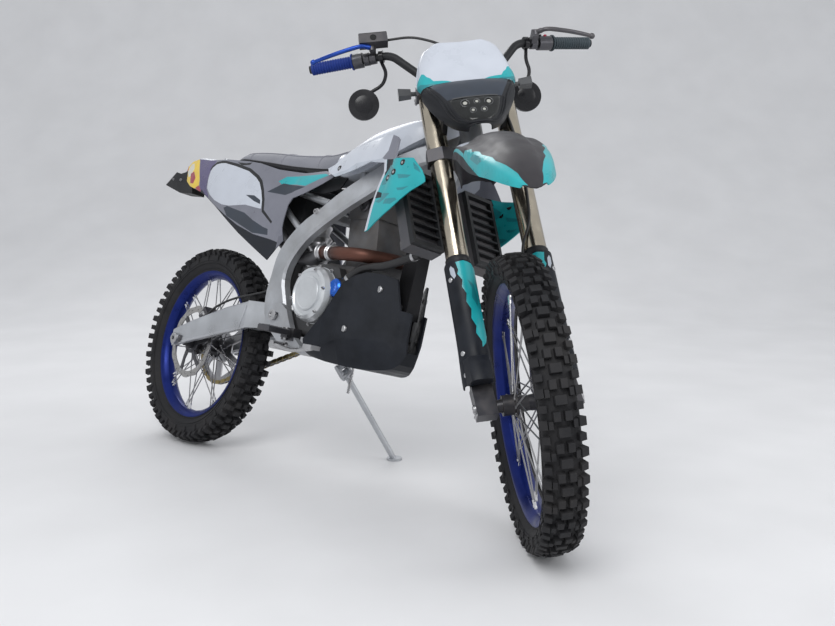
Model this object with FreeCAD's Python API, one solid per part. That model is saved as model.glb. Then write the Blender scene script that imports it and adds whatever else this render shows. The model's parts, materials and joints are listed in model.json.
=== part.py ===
import FreeCAD, Part
import math
import os

# Enduro dirt bike, all sizes in mm.
# Design frame: x forward from the rear axle, y to the rider's left, z up from the ground,
# bike upright and steering straight. Every node is then set to the parked pose.

V = FreeCAD.Vector

# parked pose
LEAN_DEG = 15.4
LOCK_DEG = 43.0

# chassis
WHEELBASE = 1465.0
CASTER_DEG = 26.9
CLAMP_OFFSET = 22.0
AXLE_LEAD = 32.0
RUN = 0.3

# tyres: outer radius over the lugs, lug height, half width of the carcass, wall from bead to lugs, pitches
FRONT_TYRE = {"r": 344.0, "lug": 13.0, "half": 40.0, "wall": 67.0, "pitches": 34}
REAR_TYRE = {"r": 331.0, "lug": 15.0, "half": 43.0, "wall": 80.0, "pitches": 30}
FRONT_RIM_HALF = 27.0
REAR_RIM_HALF = 29.0
RIM_DEPTH = 24.0
SPOKE_R = 2.0

# hubs, discs, sprockets
FRONT_FLANGE = {"r": 31.0, "y": 30.0, "t": 5.0}
REAR_FLANGE = {"r": 40.0, "y": 34.0, "t": 6.0}
HUB_BARREL_R = 21.0
HUB_SEAT_R = 24.0
FRONT_AXLE_R = 10.0
REAR_AXLE_R = 12.5
AXLE_BORE_R = 6.5
AXLE_FIT = 0.05
FRONT_DISC = {"r": 135.0, "y": 56.0, "t": 3.5}
REAR_DISC = {"r": 122.5, "y": -60.0, "t": 4.0}
DISC_BAND = 22.0
CHAIN_PITCH = 15.875
REAR_TEETH = 48
FRONT_TEETH = 13
CHAIN_Y = 66.0
SPROCKET_T = 5.0
CHAIN_GAP = 8.0
CHAIN_PLATE = 2.0
CHAIN_HALF_H = 7.0
CHAIN_PIN = 2.6

# fork and steering, along the steering axis from the ground
FORK_HALF = 98.0
UPPER_R = 29.0
LOWER_R = 24.0
FORK_TOP = 1268.0
FORK_JOINT = 745.0
CLAMP_LOW = (FORK_TOP - 238.0, FORK_TOP - 202.0)
CLAMP_TOP = (FORK_TOP - 30.0, FORK_TOP - 4.0)
STEM_R = 15.0
HEAD_R = 31.0
BAR_R = 11.1
GRIP_R = 17.0
BAR_HALF = 403.0
BAR_Z = FORK_TOP + 54.0
GRIP_LEN = 118.0
BAR_END = V(-66, BAR_HALF, FORK_TOP + 173)
BAR_BEND = V(-8, 178, FORK_TOP + 152)
PERCH_Y = BAR_HALF - 177.0
BAR_BORE_R = 8.0
BAR_BORE_DEPTH = 60.0

# swingarm, engine, stand
PIVOT = (530.0, 452.0)
PIVOT_R = 10.0
ARM_Y = 118.0
ARM_W = 28.0
ARM_EDGE = 6.0
FRONT_SPROCKET = (612.0, 462.0)
STAND_PIVOT = (598.0, 128.0, 322.0)
STAND_FOOT = (655.0, 354.0)
STAND_R = 9.0
STAND_HEAD = 20.0
STAND_EAR = 7.0
STAND_PIN_R = 6.0
STAND_FOLDED = (-0.96, 0.14, 0.10)

C = math.radians(CASTER_DEG)
SIN_C = math.sin(C)
COS_C = math.cos(C)
FRONT_R = FRONT_TYRE["r"]
REAR_R = REAR_TYRE["r"]
TRAIL = (FRONT_R * SIN_C - CLAMP_OFFSET - AXLE_LEAD) / COS_C
AXIS_FOOT = V(WHEELBASE + TRAIL, 0, 0)
AXIS_DIR = V(-SIN_C, 0, COS_C)
FORK_PLACE = FreeCAD.Placement(AXIS_FOOT, FreeCAD.Rotation(V(0, 1, 0), -CASTER_DEG))
AXLE_S = -TRAIL * -SIN_C + FRONT_R * COS_C


def box(x0, x1, y0, y1, z0, z1):
    return Part.makeBox(x1 - x0, y1 - y0, z1 - z0, V(x0, y0, z0))


def cyl(p, q, r):
    p = V(*p)
    q = V(*q)
    return Part.makeCylinder(r, q.sub(p).Length, p, q.sub(p))


def tube(p, q, r, r_in):
    return cyl(p, q, r).cut(cyl(p, q, r_in))


def cyl_y(x, z, r, y0, y1):
    return cyl((x, min(y0, y1), z), (x, max(y0, y1), z), r)


def face_of(points):
    return Part.Face(Part.makePolygon([V(*p) for p in points] + [V(*points[0])]))


def slab_y(points, y0, y1):
    return face_of([(x, y0, z) for x, z in points]).extrude(V(0, y1 - y0, 0))


def slab_z(points, z0, z1):
    return face_of([(x, y, z0) for x, y in points]).extrude(V(0, 0, z1 - z0))


def spin_y(points, x=0.0, z=0.0):
    # points are radius and y
    return face_of([(x + r, y, z) for r, y in points]).revolve(V(x, 0, z), V(0, 1, 0), 360)


def ruled(sections):
    wires = [Part.makePolygon([V(*p) for p in s] + [V(*s[0])]) for s in sections]
    return Part.makeLoft(wires, True, True)


def fuse(shapes):
    first = shapes[0]
    if len(shapes) == 1:
        return first
    return first.multiFuse(shapes[1:])


def turn_y(shape, x, z, deg):
    out = shape.copy()
    out.rotate(V(x, 0, z), V(0, 1, 0), deg)
    return out


def mirror(shape):
    return shape.mirror(V(0, 0, 0), V(0, 1, 0))


def both(shape):
    return [shape, mirror(shape)]


def bend_path(points, fixed=None):
    # straight runs joined by tangent arcs, as large as the runs allow or of one given radius
    pts = [V(*p) for p in points]
    edges = []
    at = pts[0]
    for i in range(1, len(pts) - 1):
        a = pts[i - 1].sub(pts[i])
        b = pts[i + 1].sub(pts[i])
        half = math.pi / 2 - a.getAngle(b) / 2
        run = 0.45 * min(a.Length, b.Length)
        if fixed:
            run = min(run, fixed * math.tan(half))
        radius = run / math.tan(half)
        a.normalize()
        b.normalize()
        start = pts[i].add(a * run)
        end = pts[i].add(b * run)
        mid_dir = a.add(b)
        mid_dir.normalize()
        middle = pts[i].add(mid_dir * (radius / math.cos(half) - radius))
        edges.append(Part.LineSegment(at, start).toShape())
        edges.append(Part.Arc(start, middle, end).toShape())
        at = end
    edges.append(Part.LineSegment(at, pts[-1]).toShape())
    return Part.Wire(edges)


def pipe(points, r, bend=None):
    path = bend_path(points, bend)
    start = V(*points[0])
    along = V(*points[1]).sub(start)
    ring = Part.Wire([Part.makeCircle(r, start, along)])
    return path.makePipeShell([ring], True, False)


def in_fork(shape):
    out = shape.copy()
    out.Placement = FORK_PLACE.multiply(out.Placement)
    return out


def head_point(w, rise):
    # x and z of a point on the frame's front end, rise is taken from the lower clamp
    p = FORK_PLACE.multVec(V(w, 0, CLAMP_LOW[1] + rise))
    return p.x, p.z


# wheels, built about the origin and moved to their axles

def lug(points, length):
    # points are y and radius, the lug runs along the tread
    return face_of([(r, y, -length / 2) for y, r in points]).extrude(V(0, 0, length))


def facet_ring(ring, count):
    # a ring of flat faces: the section is set at equal angles and joined by straight runs
    corners = []
    for i in range(count + 1):
        a = 2 * math.pi * (i % count) / count
        corners.append([V(r * math.cos(a), y, r * math.sin(a)) for r, y in ring + ring[:1]])
    faces = []
    for here, there in zip(corners, corners[1:]):
        for k in range(len(ring)):
            faces.append(Part.Face(Part.makePolygon([here[k], here[k + 1], there[k + 1], there[k], here[k]])))
    shell = Part.Shell(faces)
    shell.sewShape()
    solid = Part.Solid(shell)
    return solid if solid.Volume > 0 else solid.reversed()


def bead_radius(t):
    return t["r"] - t["wall"]


def tyre(t):
    crown = t["r"] - t["lug"]
    half = t["half"]
    bead = bead_radius(t)
    step = 360.0 / t["pitches"]
    seat_r = bead / math.cos(math.radians(step / 2))
    outer = [(seat_r, half * 0.62), (bead + 0.5 * (crown - bead), half), (crown - 15, half * 0.96),
             (crown, half * 0.62)]
    inner = [(seat_r, half * 0.62 - 8), (crown - 9, half * 0.6)]
    ring = outer + [(r, -y) for r, y in reversed(outer)]
    ring += [(r, -y) for r, y in inner] + [(r, y) for r, y in reversed(inner)]
    low = crown - 6
    wide = lug([(-0.34 * half, low), (0.34 * half, low), (0.3 * half, t["r"]), (-0.3 * half, t["r"])], 24)
    top = t["r"] - 1.5
    broad = lug([(-0.6 * half, low), (0.6 * half, low), (0.56 * half, top), (-0.56 * half, top)], 22)
    side = lug([(0.66 * half, crown - 6), (0.91 * half, crown - 17), (1.2 * half, crown + 1),
                (0.78 * half, t["r"] - 5)], 20)
    lugs = []
    for i in range(t["pitches"]):
        a = i * step
        lugs.append(turn_y(broad if i % 2 else wide, 0, 0, a + 0.27 * step))
        lugs += [turn_y(k, 0, 0, a + 0.75 * step) for k in both(side)]
    return fuse([facet_ring(ring, t["pitches"])] + lugs)


def rim(bead, half):
    flange = bead - RUN
    ring = [(flange, half), (flange, half - 4), (flange - 10, half - 6), (flange - 16, 8),
            (flange - 16, -8), (flange - 10, 6 - half), (flange, 4 - half), (flange, -half),
            (flange - 12, 2 - half), (flange - RIM_DEPTH, -10), (flange - RIM_DEPTH, 10),
            (flange - 12, half - 2)]
    return spin_y(ring)


def hub(flange, half, bore, seat):
    # seat is how far out the disc and sprocket sit
    y = flange["y"]
    h = flange["t"] / 2
    ring = [(bore, -half), (bore + 5, -half), (bore + 6, -seat), (HUB_SEAT_R, -seat), (HUB_SEAT_R, -y - h),
            (flange["r"], -y - h), (flange["r"], h - y), (HUB_BARREL_R, h - y), (HUB_BARREL_R - 3, 0)]
    ring += [(r, -y) for r, y in reversed(ring[:-1])]
    return spin_y(ring)


def spokes(flange, rim_r):
    out = []
    per_side = 18
    for side in (1, -1):
        for i in range(per_side):
            a = math.radians(i * 360.0 / per_side + (5 if side > 0 else 15))
            lean = math.radians(52 if i % 2 else -52)
            face = flange["t"] / 2 + SPOKE_R + 0.4
            y0 = side * (flange["y"] + (face if i % 2 else -face))
            r0 = flange["r"] - 4
            p = V(r0 * math.cos(a), y0, r0 * math.sin(a))
            b = a + lean * 0.55
            q = V(rim_r * math.cos(b), side * 5.0, rim_r * math.sin(b))
            out.append(spoke(p, q))
    return Part.makeCompound(out)


def spoke(p, q):
    along = q.sub(p)
    place = FreeCAD.Placement(p, FreeCAD.Rotation(V(0, 0, 1), along))
    corners = [(SPOKE_R * math.cos(k * math.pi / 2), SPOKE_R * math.sin(k * math.pi / 2)) for k in range(4)]
    bar = slab_z(corners, 0, along.Length)
    bar.Placement = place
    return bar


def brake_disc(d, hub_r):
    outer = d["r"]
    ring = spin_y([(outer - DISC_BAND, -d["t"] / 2), (outer, -d["t"] / 2), (outer, d["t"] / 2),
                   (outer - DISC_BAND, d["t"] / 2)])
    centre = spin_y([(hub_r, -d["t"] / 2), (hub_r + 14, -d["t"] / 2), (hub_r + 14, d["t"] / 2),
                     (hub_r, d["t"] / 2)])
    arm = slab_y([(hub_r + 8, -9), (outer - DISC_BAND + 4, 14), (outer - DISC_BAND + 4, 30), (hub_r + 8, 9)],
                 -d["t"] / 2, d["t"] / 2)
    arms = [turn_y(arm, 0, 0, i * 60.0) for i in range(6)]
    disc = fuse([ring, centre] + arms)
    disc.translate(V(0, d["y"], 0))
    return disc


def pitch_radius(teeth):
    return CHAIN_PITCH / 2 / math.sin(math.pi / teeth)


def sprocket(teeth, thickness):
    r = pitch_radius(teeth)
    step = 2 * math.pi / teeth
    points = []
    for i in range(teeth):
        root = r - CHAIN_PIN - RUN
        for share, radius in ((-0.27, root), (-0.12, r + 4.5), (0.12, r + 4.5), (0.27, root)):
            a = (i + share) * step
            points.append((radius * math.cos(a), radius * math.sin(a)))
    return slab_y(points, -thickness / 2, thickness / 2)


def rear_sprocket(hub_r):
    body = sprocket(REAR_TEETH, SPROCKET_T)
    r = pitch_radius(REAR_TEETH)
    hole = slab_y([(hub_r + 30, -14), (r - 22, -34), (r - 22, 34), (hub_r + 30, 14)], -10, 10)
    bore = cyl_y(0, 0, hub_r, -10, 10)
    body = body.cut(fuse([bore] + [turn_y(hole, 0, 0, i * 60.0) for i in range(6)]))
    body.translate(V(0, CHAIN_Y, 0))
    return body


# chain: two bands of side plates round both sprockets, joined by pins

def chain_frame():
    rear = V(0, 0, REAR_R)
    front = V(FRONT_SPROCKET[0], 0, FRONT_SPROCKET[1])
    big = pitch_radius(REAR_TEETH)
    small = pitch_radius(FRONT_TEETH)
    between = front.sub(rear)
    slope = math.atan2(between.z, between.x)
    spread = math.asin((big - small) / between.Length)
    return rear, front, big, small, slope, spread


def chain_line(offset):
    rear, front, big, small, slope, spread = chain_frame()
    top = slope + math.pi / 2 - spread
    low = slope - math.pi / 2 + spread
    points = []
    for i in range(7):
        a = low + (top - low) * i / 6.0
        points.append((front.x + (small + offset) * math.cos(a), front.z + (small + offset) * math.sin(a)))
    for i in range(17):
        a = top + (2 * math.pi - (top - low)) * i / 16.0
        points.append((rear.x + (big + offset) * math.cos(a), rear.z + (big + offset) * math.sin(a)))
    return points


def chain():
    band_h = CHAIN_HALF_H
    outer = chain_line(band_h)
    inner = chain_line(-band_h)
    y0 = CHAIN_GAP / 2
    band = slab_y(outer, CHAIN_Y + y0, CHAIN_Y + y0 + CHAIN_PLATE)
    band = band.cut(slab_y(inner, CHAIN_Y + y0 - 1, CHAIN_Y + y0 + CHAIN_PLATE + 1))
    other = band.copy()
    other.translate(V(0, -2 * y0 - CHAIN_PLATE, 0))
    rear, front, big, small, slope, spread = chain_frame()
    top = slope + math.pi / 2 - spread
    low = slope - math.pi / 2 + spread
    parts = [band, other]
    for a in (top, low):
        start = V(rear.x + big * math.cos(a), 0, rear.z + big * math.sin(a))
        end = V(front.x + small * math.cos(a), 0, front.z + small * math.sin(a))
        parts += chain_run(start, end)
    return fuse(parts + wrap_pins(top, low))


def chain_pin():
    k = CHAIN_PIN
    return slab_y([(-k, k), (k, k), (k, -k), (-k, -k)], -CHAIN_GAP / 2, CHAIN_GAP / 2)


def wrap_pins(top, low):
    # pins seated between the teeth of the front sprocket
    r = pitch_radius(FRONT_TEETH)
    step = 2 * math.pi / FRONT_TEETH
    out = []
    for i in range(FRONT_TEETH):
        a = (i + 0.5) * step
        if a > math.pi:
            a -= 2 * math.pi
        if low < a < top:
            pin = turn_y(chain_pin(), 0, 0, -math.degrees(a))
            x, z = FRONT_SPROCKET
            pin.translate(V(x + r * math.cos(a), CHAIN_Y, z + r * math.sin(a)))
            out.append(pin)
    return out


def chain_corridor():
    # the room that the chain keeps through the swingarm
    room = slab_y(chain_line(CHAIN_HALF_H + 6), CHAIN_Y - 13, CHAIN_Y + 13)
    return room.cut(slab_y(chain_line(-CHAIN_HALF_H - 6), CHAIN_Y - 20, CHAIN_Y + 20))


def chain_run(start, end):
    along = end.sub(start)
    count = int(along.Length / CHAIN_PITCH) - 5
    tilt = -math.degrees(math.atan2(along.z, along.x))
    along.normalize()
    out = []
    for i in range(0, count, 2):
        at = start.add(along * ((3 + i) * CHAIN_PITCH))
        k = turn_y(chain_pin(), 0, 0, tilt)
        k.translate(V(at.x, CHAIN_Y, at.z))
        out.append(k)
    return out


# frame, engine and what they carry

BEAM_EDGE = 7.0
BEAM = [
    # rear x, rear z, front x, front z, inner y, outer y
    (*head_point(-60, 69), *head_point(-54.6, 4.5), 18, 42),
    (905, 930, 960, 885, 62, 98),
    (748, 833, 800, 790, 96, 130),
    (652, 772, 694, 730, 100, 134),
    (572, 723, 616, 676, 102, 136),
    (498, 646, 560, 612, 100, 134),
    (474, 568, 544, 557, 98, 130),
    (464, 500, 566, 500, 96, 128),
    (484, 430, 596, 430, 94, 124),
    (560, 372, 650, 362, 90, 118),
]


def smooth_rows(rows, steps):
    # rows of numbers joined by a smooth run and set at equal steps along it
    out = []
    last = len(rows) - 1
    for i in range(last):
        before, here, there, after = rows[max(i - 1, 0)], rows[i], rows[i + 1], rows[min(i + 2, last)]
        for k in range(steps):
            t = k / steps
            out.append([0.5 * (2 * q + (r - p) * t + (2 * p - 5 * q + 4 * r - s) * t * t
                               + (3 * q - p - 3 * r + s) * t ** 3)
                        for p, q, r, s in zip(before, here, there, after)])
    out.append(list(rows[-1]))
    return out


def chamfered(rear, front, y0, y1, edge):
    # box section with cut corners, rear and front are its x and z ends
    length = math.hypot(front[0] - rear[0], front[1] - rear[1])
    step = edge / length
    turn = edge if y1 > y0 else -edge
    corners = [(step, y0), (1 - step, y0), (1, y0 + turn), (1, y1 - turn), (1 - step, y1), (step, y1),
               (0, y1 - turn), (0, y0 + turn)]
    return [(rear[0] + t * (front[0] - rear[0]), y, rear[1] + t * (front[1] - rear[1])) for t, y in corners]


def beam(side):
    return ruled([chamfered((xr, zr), (xf, zf), side * yi, side * yo, BEAM_EDGE)
                  for xr, zr, xf, zf, yi, yo in smooth_rows(BEAM, 3)])


def head_tube():
    low = CLAMP_LOW[1] + 1.0
    high = CLAMP_TOP[0] - 1.0
    return in_fork(tube((0, 0, low), (0, 0, high), HEAD_R, STEM_R + 0.05))


def down_tube():
    # a tapering box section from the head tube to the cradle
    rows = [(*head_point(-65, 50), *head_point(-43.8, 17), 26), (938, 821, 982, 809, 22),
            (928, 644, 980, 636, 22), (922, 506, 976, 494, 24)]
    return ruled([[(xr, -half, zr), (xf, -half, zf), (xf, half, zf), (xr, half, zr)]
                  for xr, zr, xf, zf, half in rows])


def cradle(side):
    return pipe([(948, side * 16, 530), (930, side * 34, 430), (880, side * 58, 390), (760, side * 78, 376),
                 (640, side * 92, 372)], 14)


def heel_casting(side):
    # arched casting on the beam, over the foot peg
    outline = [(512, 466), (530, 486), (566, 488), (600, 470), (624, 434), (652, 400), (694, 374), (688, 354),
               (640, 374), (604, 402), (584, 438), (566, 458), (542, 462), (524, 450)]
    return slab_y(outline, side * 118, side * 136)


def frame(rest):
    stem_hole = in_fork(cyl((0, 0, CLAMP_LOW[0]), (0, 0, CLAMP_TOP[1]), STEM_R + 0.05))
    cross = [cyl_y(606, 372, 15, -98, 98), cyl_y(646, 760, 14, -104, 104)]
    castings = [heel_casting(1), heel_casting(-1)]
    solid = fuse([beam(1), beam(-1), down_tube(), cradle(1), cradle(-1), head_tube()] + cross + castings)
    upper_x, upper_z = head_point(-19.4, 65)
    lower_x, lower_z = head_point(-65.3, 10)
    gusset = ruled([[(upper_x, -18, upper_z), (upper_x, 18, upper_z),
                     (lower_x, 18, lower_z), (lower_x, -18, lower_z)],
                    [(900, -70, 930), (900, 70, 930), (905, 70, 905), (905, -70, 905)]])
    shock_mount = slab_y([(650, 774), (650, 746), (504, 768), (478, 784), (494, 806), (560, 800)], -15, 15)
    hanger = slab_y([(880, 530), (892, 478), (940, 500), (945, 545)], -20, 20)
    solid = fuse([solid, gusset, stand_lug(rest), shock_mount, hanger] + frame_pegs())
    bolt = cyl_y(PIVOT[0], PIVOT[1], PIVOT_R, -140, 140)
    return solid.cut(fuse([stem_hole, bolt, shock(), engine(), tank_cover(), radiator(1), radiator(-1)]))


def frame_pegs():
    # pegs that carry the tank cover and the radiators
    pegs = [cyl((780, s * 100, 840), (780, s * 100, 900), 9) for s in (1, -1)]
    high_x, high_z = head_point(-147, -52)
    low_x, low_z = head_point(-132, -210)
    pegs.append(cyl_y(high_x, high_z, 9, -70, 70))
    for s in (1, -1):
        pegs.append(cyl((958, s * 8, low_z - 4), (low_x, s * 84, low_z), 7))
    return pegs


def subframe():
    rails = []
    for s in (1, -1):
        rails.append(pipe([(668, s * 108, 790), (540, s * 70, 818), (420, s * 62, 846), (180, s * 62, 880),
                           (-40, s * 56, 912)], 11))
        rails.append(pipe([(568, s * 106, 700), (450, s * 86, 762), (370, s * 62, 806),
                           (232, s * 62, 868)], 10))
    cross = [cyl_y(60, 897, 9, -60, 60), cyl_y(420, 846, 9, -62, 62)]
    pegs = []
    for s in (1, -1):
        for x, y, z, top in ((416, 62, 850, 906), (190, 62, 882, 944), (-30, 56, 912, 968)):
            pegs.append(cyl((x, s * y, z), (x, s * y, top), 8))
    return fuse(rails + cross + pegs).cut(fuse([beam(1), beam(-1), seat(), rear_fender()]))


def swingarm():
    arm = []
    for s in (1, -1):
        y0 = s * (ARM_Y - ARM_W)
        y1 = s * ARM_Y
        rows = [(-34, REAR_R - 23, REAR_R + 33), (60, REAR_R - 1, REAR_R + 67), (250, 374, 457),
                (372, 402, 486)]
        arm.append(ruled([chamfered((x, z0), (x, z1), y0, y1, ARM_EDGE) for x, z0, z1 in rows]))
        arm.append(ruled([[(372, s * 62, 402), (372, y1, 402), (372, y1, 486), (372, s * 62, 486)],
                          [(440, s * 58, 410), (440, s * 92, 410), (440, s * 92, 488), (440, s * 58, 488)],
                          [(548, s * 60, 432), (548, s * 90, 432), (548, s * 90, 474), (548, s * 60, 474)]]))
    bridge = box(372, 452, -70, 70, 405, 484)
    body = fuse(arm + [bridge])
    hole = cyl_y(PIVOT[0], PIVOT[1], PIVOT_R, -160, 160)
    axle = cyl_y(0, REAR_R, REAR_AXLE_R + AXLE_FIT, -160, 160)
    return body.cut(fuse([hole, axle, chain_corridor()]))


def pivot_bolt():
    return cyl_y(PIVOT[0], PIVOT[1], PIVOT_R, -132, 132)


def rear_axle():
    nut = cyl_y(0, REAR_R, 19, ARM_Y + RUN, ARM_Y + 13)
    body = fuse([cyl_y(0, REAR_R, REAR_AXLE_R, -ARM_Y - 14, ARM_Y + 14)] + both(nut))
    return body.cut(cyl_y(0, REAR_R, AXLE_BORE_R, -200, 200))


CRANKCASE = [(572, 540), (600, 606), (700, 622), (880, 612), (905, 500), (890, 432), (840, 404), (700, 398),
             (606, 404), (576, 430)]


def pivot_ears():
    ear = slab_y([(580, 500), (580, 430), (540, 432), (514, 442), (514, 466), (536, 474)], 26, 56)
    return [k.cut(cyl_y(PIVOT[0], PIVOT[1], PIVOT_R, -90, 90)) for k in both(ear)]


def engine():
    case = slab_y(CRANKCASE, -88, 30)
    left_case = slab_y([(664, 545), (690, 606), (880, 606), (895, 500), (880, 440), (830, 404), (704, 400),
                        (664, 430)], 30, 84)
    barrel = ruled([[(735, -62, 612), (862, -62, 612), (862, 62, 612), (735, 62, 612)],
                    [(712, -62, 760), (838, -62, 760), (838, 62, 760), (712, 62, 760)]])
    head = ruled([[(706, -66, 758), (844, -66, 758), (844, 66, 758), (706, 66, 758)],
                  [(712, -60, 842), (822, -60, 842), (822, 60, 842), (712, 60, 842)]])
    spigot = cyl_y(FRONT_SPROCKET[0], FRONT_SPROCKET[1], 12, 28, CHAIN_Y - 14)
    return fuse([case, left_case, barrel, head, spigot, front_sprocket()] + pivot_ears())


def front_sprocket():
    body = sprocket(FRONT_TEETH, SPROCKET_T)
    body.translate(V(FRONT_SPROCKET[0], CHAIN_Y, FRONT_SPROCKET[1]))
    boss = cyl_y(FRONT_SPROCKET[0], FRONT_SPROCKET[1], 16, CHAIN_Y - 14, CHAIN_Y + 8)
    return fuse([body, boss])


CLUTCH = (698.0, 523.0)
PUMP = (785.0, 548.0)


def clutch_cover():
    case = slab_y([(612, 600), (700, 614), (770, 606), (800, 560), (800, 480), (770, 430), (700, 408),
                   (630, 414), (606, 470)], -112, -88)
    x, z = CLUTCH
    dome = spin_y([(0, -112), (80, -112), (80, -132), (73, -146), (64, -150), (60, -146), (0, -146)], x, z)
    badge = spin_y([(0, -146), (50, -146), (48, -151), (0, -151)], x, z)
    return fuse([case, dome, badge])


def water_pump():
    x, z = PUMP
    body = spin_y([(0, -88), (30, -88), (30, -116), (22, -130), (0, -132)], x, z)
    outlet = pipe([(x + 10, -106, z + 18), (850, -102, 610), (940, -94, 622), (1080, -92, 664)], 10)
    return fuse([body, outlet]).cut(fuse([clutch_cover(), radiator(-1)]))


def generator_cover():
    body = spin_y([(0, 84), (72, 84), (72, 98), (58, 112), (0, 114)], 775, 505)
    return body


def exhaust():
    return pipe([(712, 30, 700), (670, 96, 690), (760, 122, 672), (850, 100, 660), (890, 0, 652),
                 (850, -108, 646), (780, -122, 645), (668, -96, 650)], 19).cut(engine())


def mid_pipe():
    return pipe([(668, -96, 650), (590, -72, 632), (500, -72, 640), (440, -90, 684), (398, -100, 736)], 20)


def muffler():
    rings = []
    for x, z, a, b in ((410, 728, 18, 24), (370, 744, 21, 44), (120, 822, 21, 46), (50, 846, 15, 32)):
        rings.append([(x + b * 0.3 * math.sin(q), -98 + a * math.cos(q), z + b * 0.95 * math.sin(q))
                      for q in [2 * math.pi * k / 12 for k in range(12)]])
    return fuse([mid_pipe(), ruled(rings)]).cut(exhaust())


def radiator(side):
    core = box(-152, -120, 66, 172, 830, 1010)
    tanks = [box(-154, -118, 64, 174, 1010, 1034), box(-154, -118, 64, 174, 806, 830)]
    body = fuse([core] + tanks)
    body = in_fork(body)
    return body if side > 0 else mirror(body)


def louvre(side):
    frame_out = box(-118, -104, 64, 176, 808, 1032)
    window = box(-130, -90, 74, 166, 820, 1020)
    bars = [box(-117, -105, 70, 170, 818 + 25 * k, 823 + 25 * k) for k in range(1, 8)]
    body = in_fork(fuse([frame_out.cut(window)] + bars))
    return body if side > 0 else mirror(body)


SHROUD = [
    # x, bottom z, top z, outer y at the bottom, outer y at the top
    (664, 880, 888, 138, 130),
    (704, 862, 924, 140, 122),
    (800, 872, 953, 154, 132),
    (893, 884, 962, 176, 150),
    (950, 700, 964, 198, 172),
    (995, 714, 947, 208, 178),
    (1028, 734, 892, 212, 206),
    (1077, 770, 880, 214, 208),
    (1100, 788, 872, 213, 208),
    (1146, 816, 830, 206, 205),
]
SHROUD_T = 4.0


def shroud(side):
    sections = []
    for x, z0, z1, yb, yt in SHROUD:
        zm = (z0 + z1) / 2
        ym = (yb + yt) / 2 + 3
        outer = [(x, yt, z1), (x, ym, zm), (x, yb, z0)]
        inner = [(x, y - SHROUD_T, z) for x, y, z in reversed(outer)]
        sections.append([(x, side * y, z) for x, y, z in outer + inner])
    pegs = [cyl((1005, side * 172, 830), (1005, side * 194, 830), 8),
            cyl((1021, side * 172, 798), (1021, side * 207, 798), 8)]
    return fuse([ruled(sections)] + pegs)


def tank_cover():
    sections = []
    for x, z0, z1, hw in ((640, 880, 948, 92), (700, 872, 986, 104), (780, 880, 1020, 112),
                          (860, 912, 1036, 112), (930, 952, 1046, 96), (985, 994, 1050, 62)):
        sections.append([(x, -hw, z0), (x, -hw, z0 + 0.45 * (z1 - z0)), (x, -hw * 0.62, z1 - 7), (x, 0, z1),
                         (x, hw * 0.62, z1 - 7), (x, hw, z0 + 0.45 * (z1 - z0)), (x, hw, z0)])
    return ruled(sections)


def seat():
    sections = []
    for x, z0, z1, hw in ((100, 944, 962, 84), (160, 936, 976, 98), (300, 915, 972, 104), (430, 899, 962, 92),
                          (560, 890, 962, 76), (639, 889, 976, 72)):
        sections.append([(x, -hw, z0), (x, -hw, z0 + 0.6 * (z1 - z0)), (x, -hw * 0.72, z1 - 4), (x, 0, z1),
                         (x, hw * 0.72, z1 - 4), (x, hw, z0 + 0.6 * (z1 - z0)), (x, hw, z0)])
    return ruled(sections)


PANEL = [
    # x, bottom z, top z, y at the bottom, y at the top
    (-256, 926, 950, 68, 66),
    (-228, 886, 962, 80, 72),
    (-165, 862, 966, 94, 83),
    (-100, 845, 958, 104, 90),
    (-18, 822, 951, 116, 98),
    (75, 782, 944, 126, 104),
    (170, 740, 932, 132, 108),
    (259, 692, 916, 134, 110),
    (350, 652, 902, 134, 108),
    (440, 612, 886, 132, 102),
    (474, 646, 885, 130, 100),
    (480, 806, 885, 114, 100),
    (540, 822, 887, 112, 102),
    (616, 850, 889, 114, 108),
    (668, 866, 877, 118, 116),
]
PANEL_T = 4.0


def side_panel(side):
    sections = []
    for x, z0, z1, yb, yt in PANEL:
        zm = z0 + 0.5 * (z1 - z0)
        ym = (yb + yt) / 2 + 5
        outer = [(x, yt, z1), (x, ym, zm), (x, yb, z0)]
        inner = [(x, y - PANEL_T, z) for x, y, z in reversed(outer)]
        sections.append([(x, side * y, z) for x, y, z in outer + inner])
    pegs = [cyl((180, side * 64, 880), (180, side * 115, 880), 7),
            cyl((430, side * 64, 844), (430, side * 109, 844), 7)]
    return fuse([ruled(sections)] + pegs).cut(subframe())


def rear_fender():
    sections = []
    for x, zc, ze, hw in ((-285, 962, 944, 38), (-256, 976, 954, 59), (-180, 980, 962, 75),
                          (-60, 968, 948, 85), (100, 950, 936, 84)):
        outer = [(x, -hw, ze), (x, -hw * 0.6, zc - 3), (x, 0, zc), (x, hw * 0.6, zc - 3), (x, hw, ze)]
        inner = [(x, y, z - 4) for x, y, z in reversed(outer)]
        sections.append(outer + inner)
    return ruled(sections)


FIN_TOP = ((-286.0, 950.0), (-383.0, 936.0))


def plate_bracket():
    upper = ruled([[(-180, -40, 975), (-180, 40, 975), (-180, 34, 940), (-180, -34, 940)],
                   [(-290, -30, 949), (-290, 30, 949), (-290, 26, 900), (-290, -26, 900)]])
    fin = slab_y([*FIN_TOP, (-416, 943), (-480, 895), (-363, 863), (-272, 858), (-286, 905)], -26, 26)
    return fuse([upper, fin]).cut(rear_fender())


def on_fin(x):
    (x0, z0), (x1, z1) = FIN_TOP
    return x, z0 + (z1 - z0) * (x - x0) / (x1 - x0)


def tail_lamp():
    foot = [on_fin(-308), on_fin(-344)]
    return slab_y([foot[0], (-312, foot[0][1] + 20), (-339, foot[1][1] + 20), foot[1]], -25, 25)


INTAKE_COVER = [(520, 836), (556, 854), (629, 872), (696, 872), (672, 840), (600, 828), (548, 832)]


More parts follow.
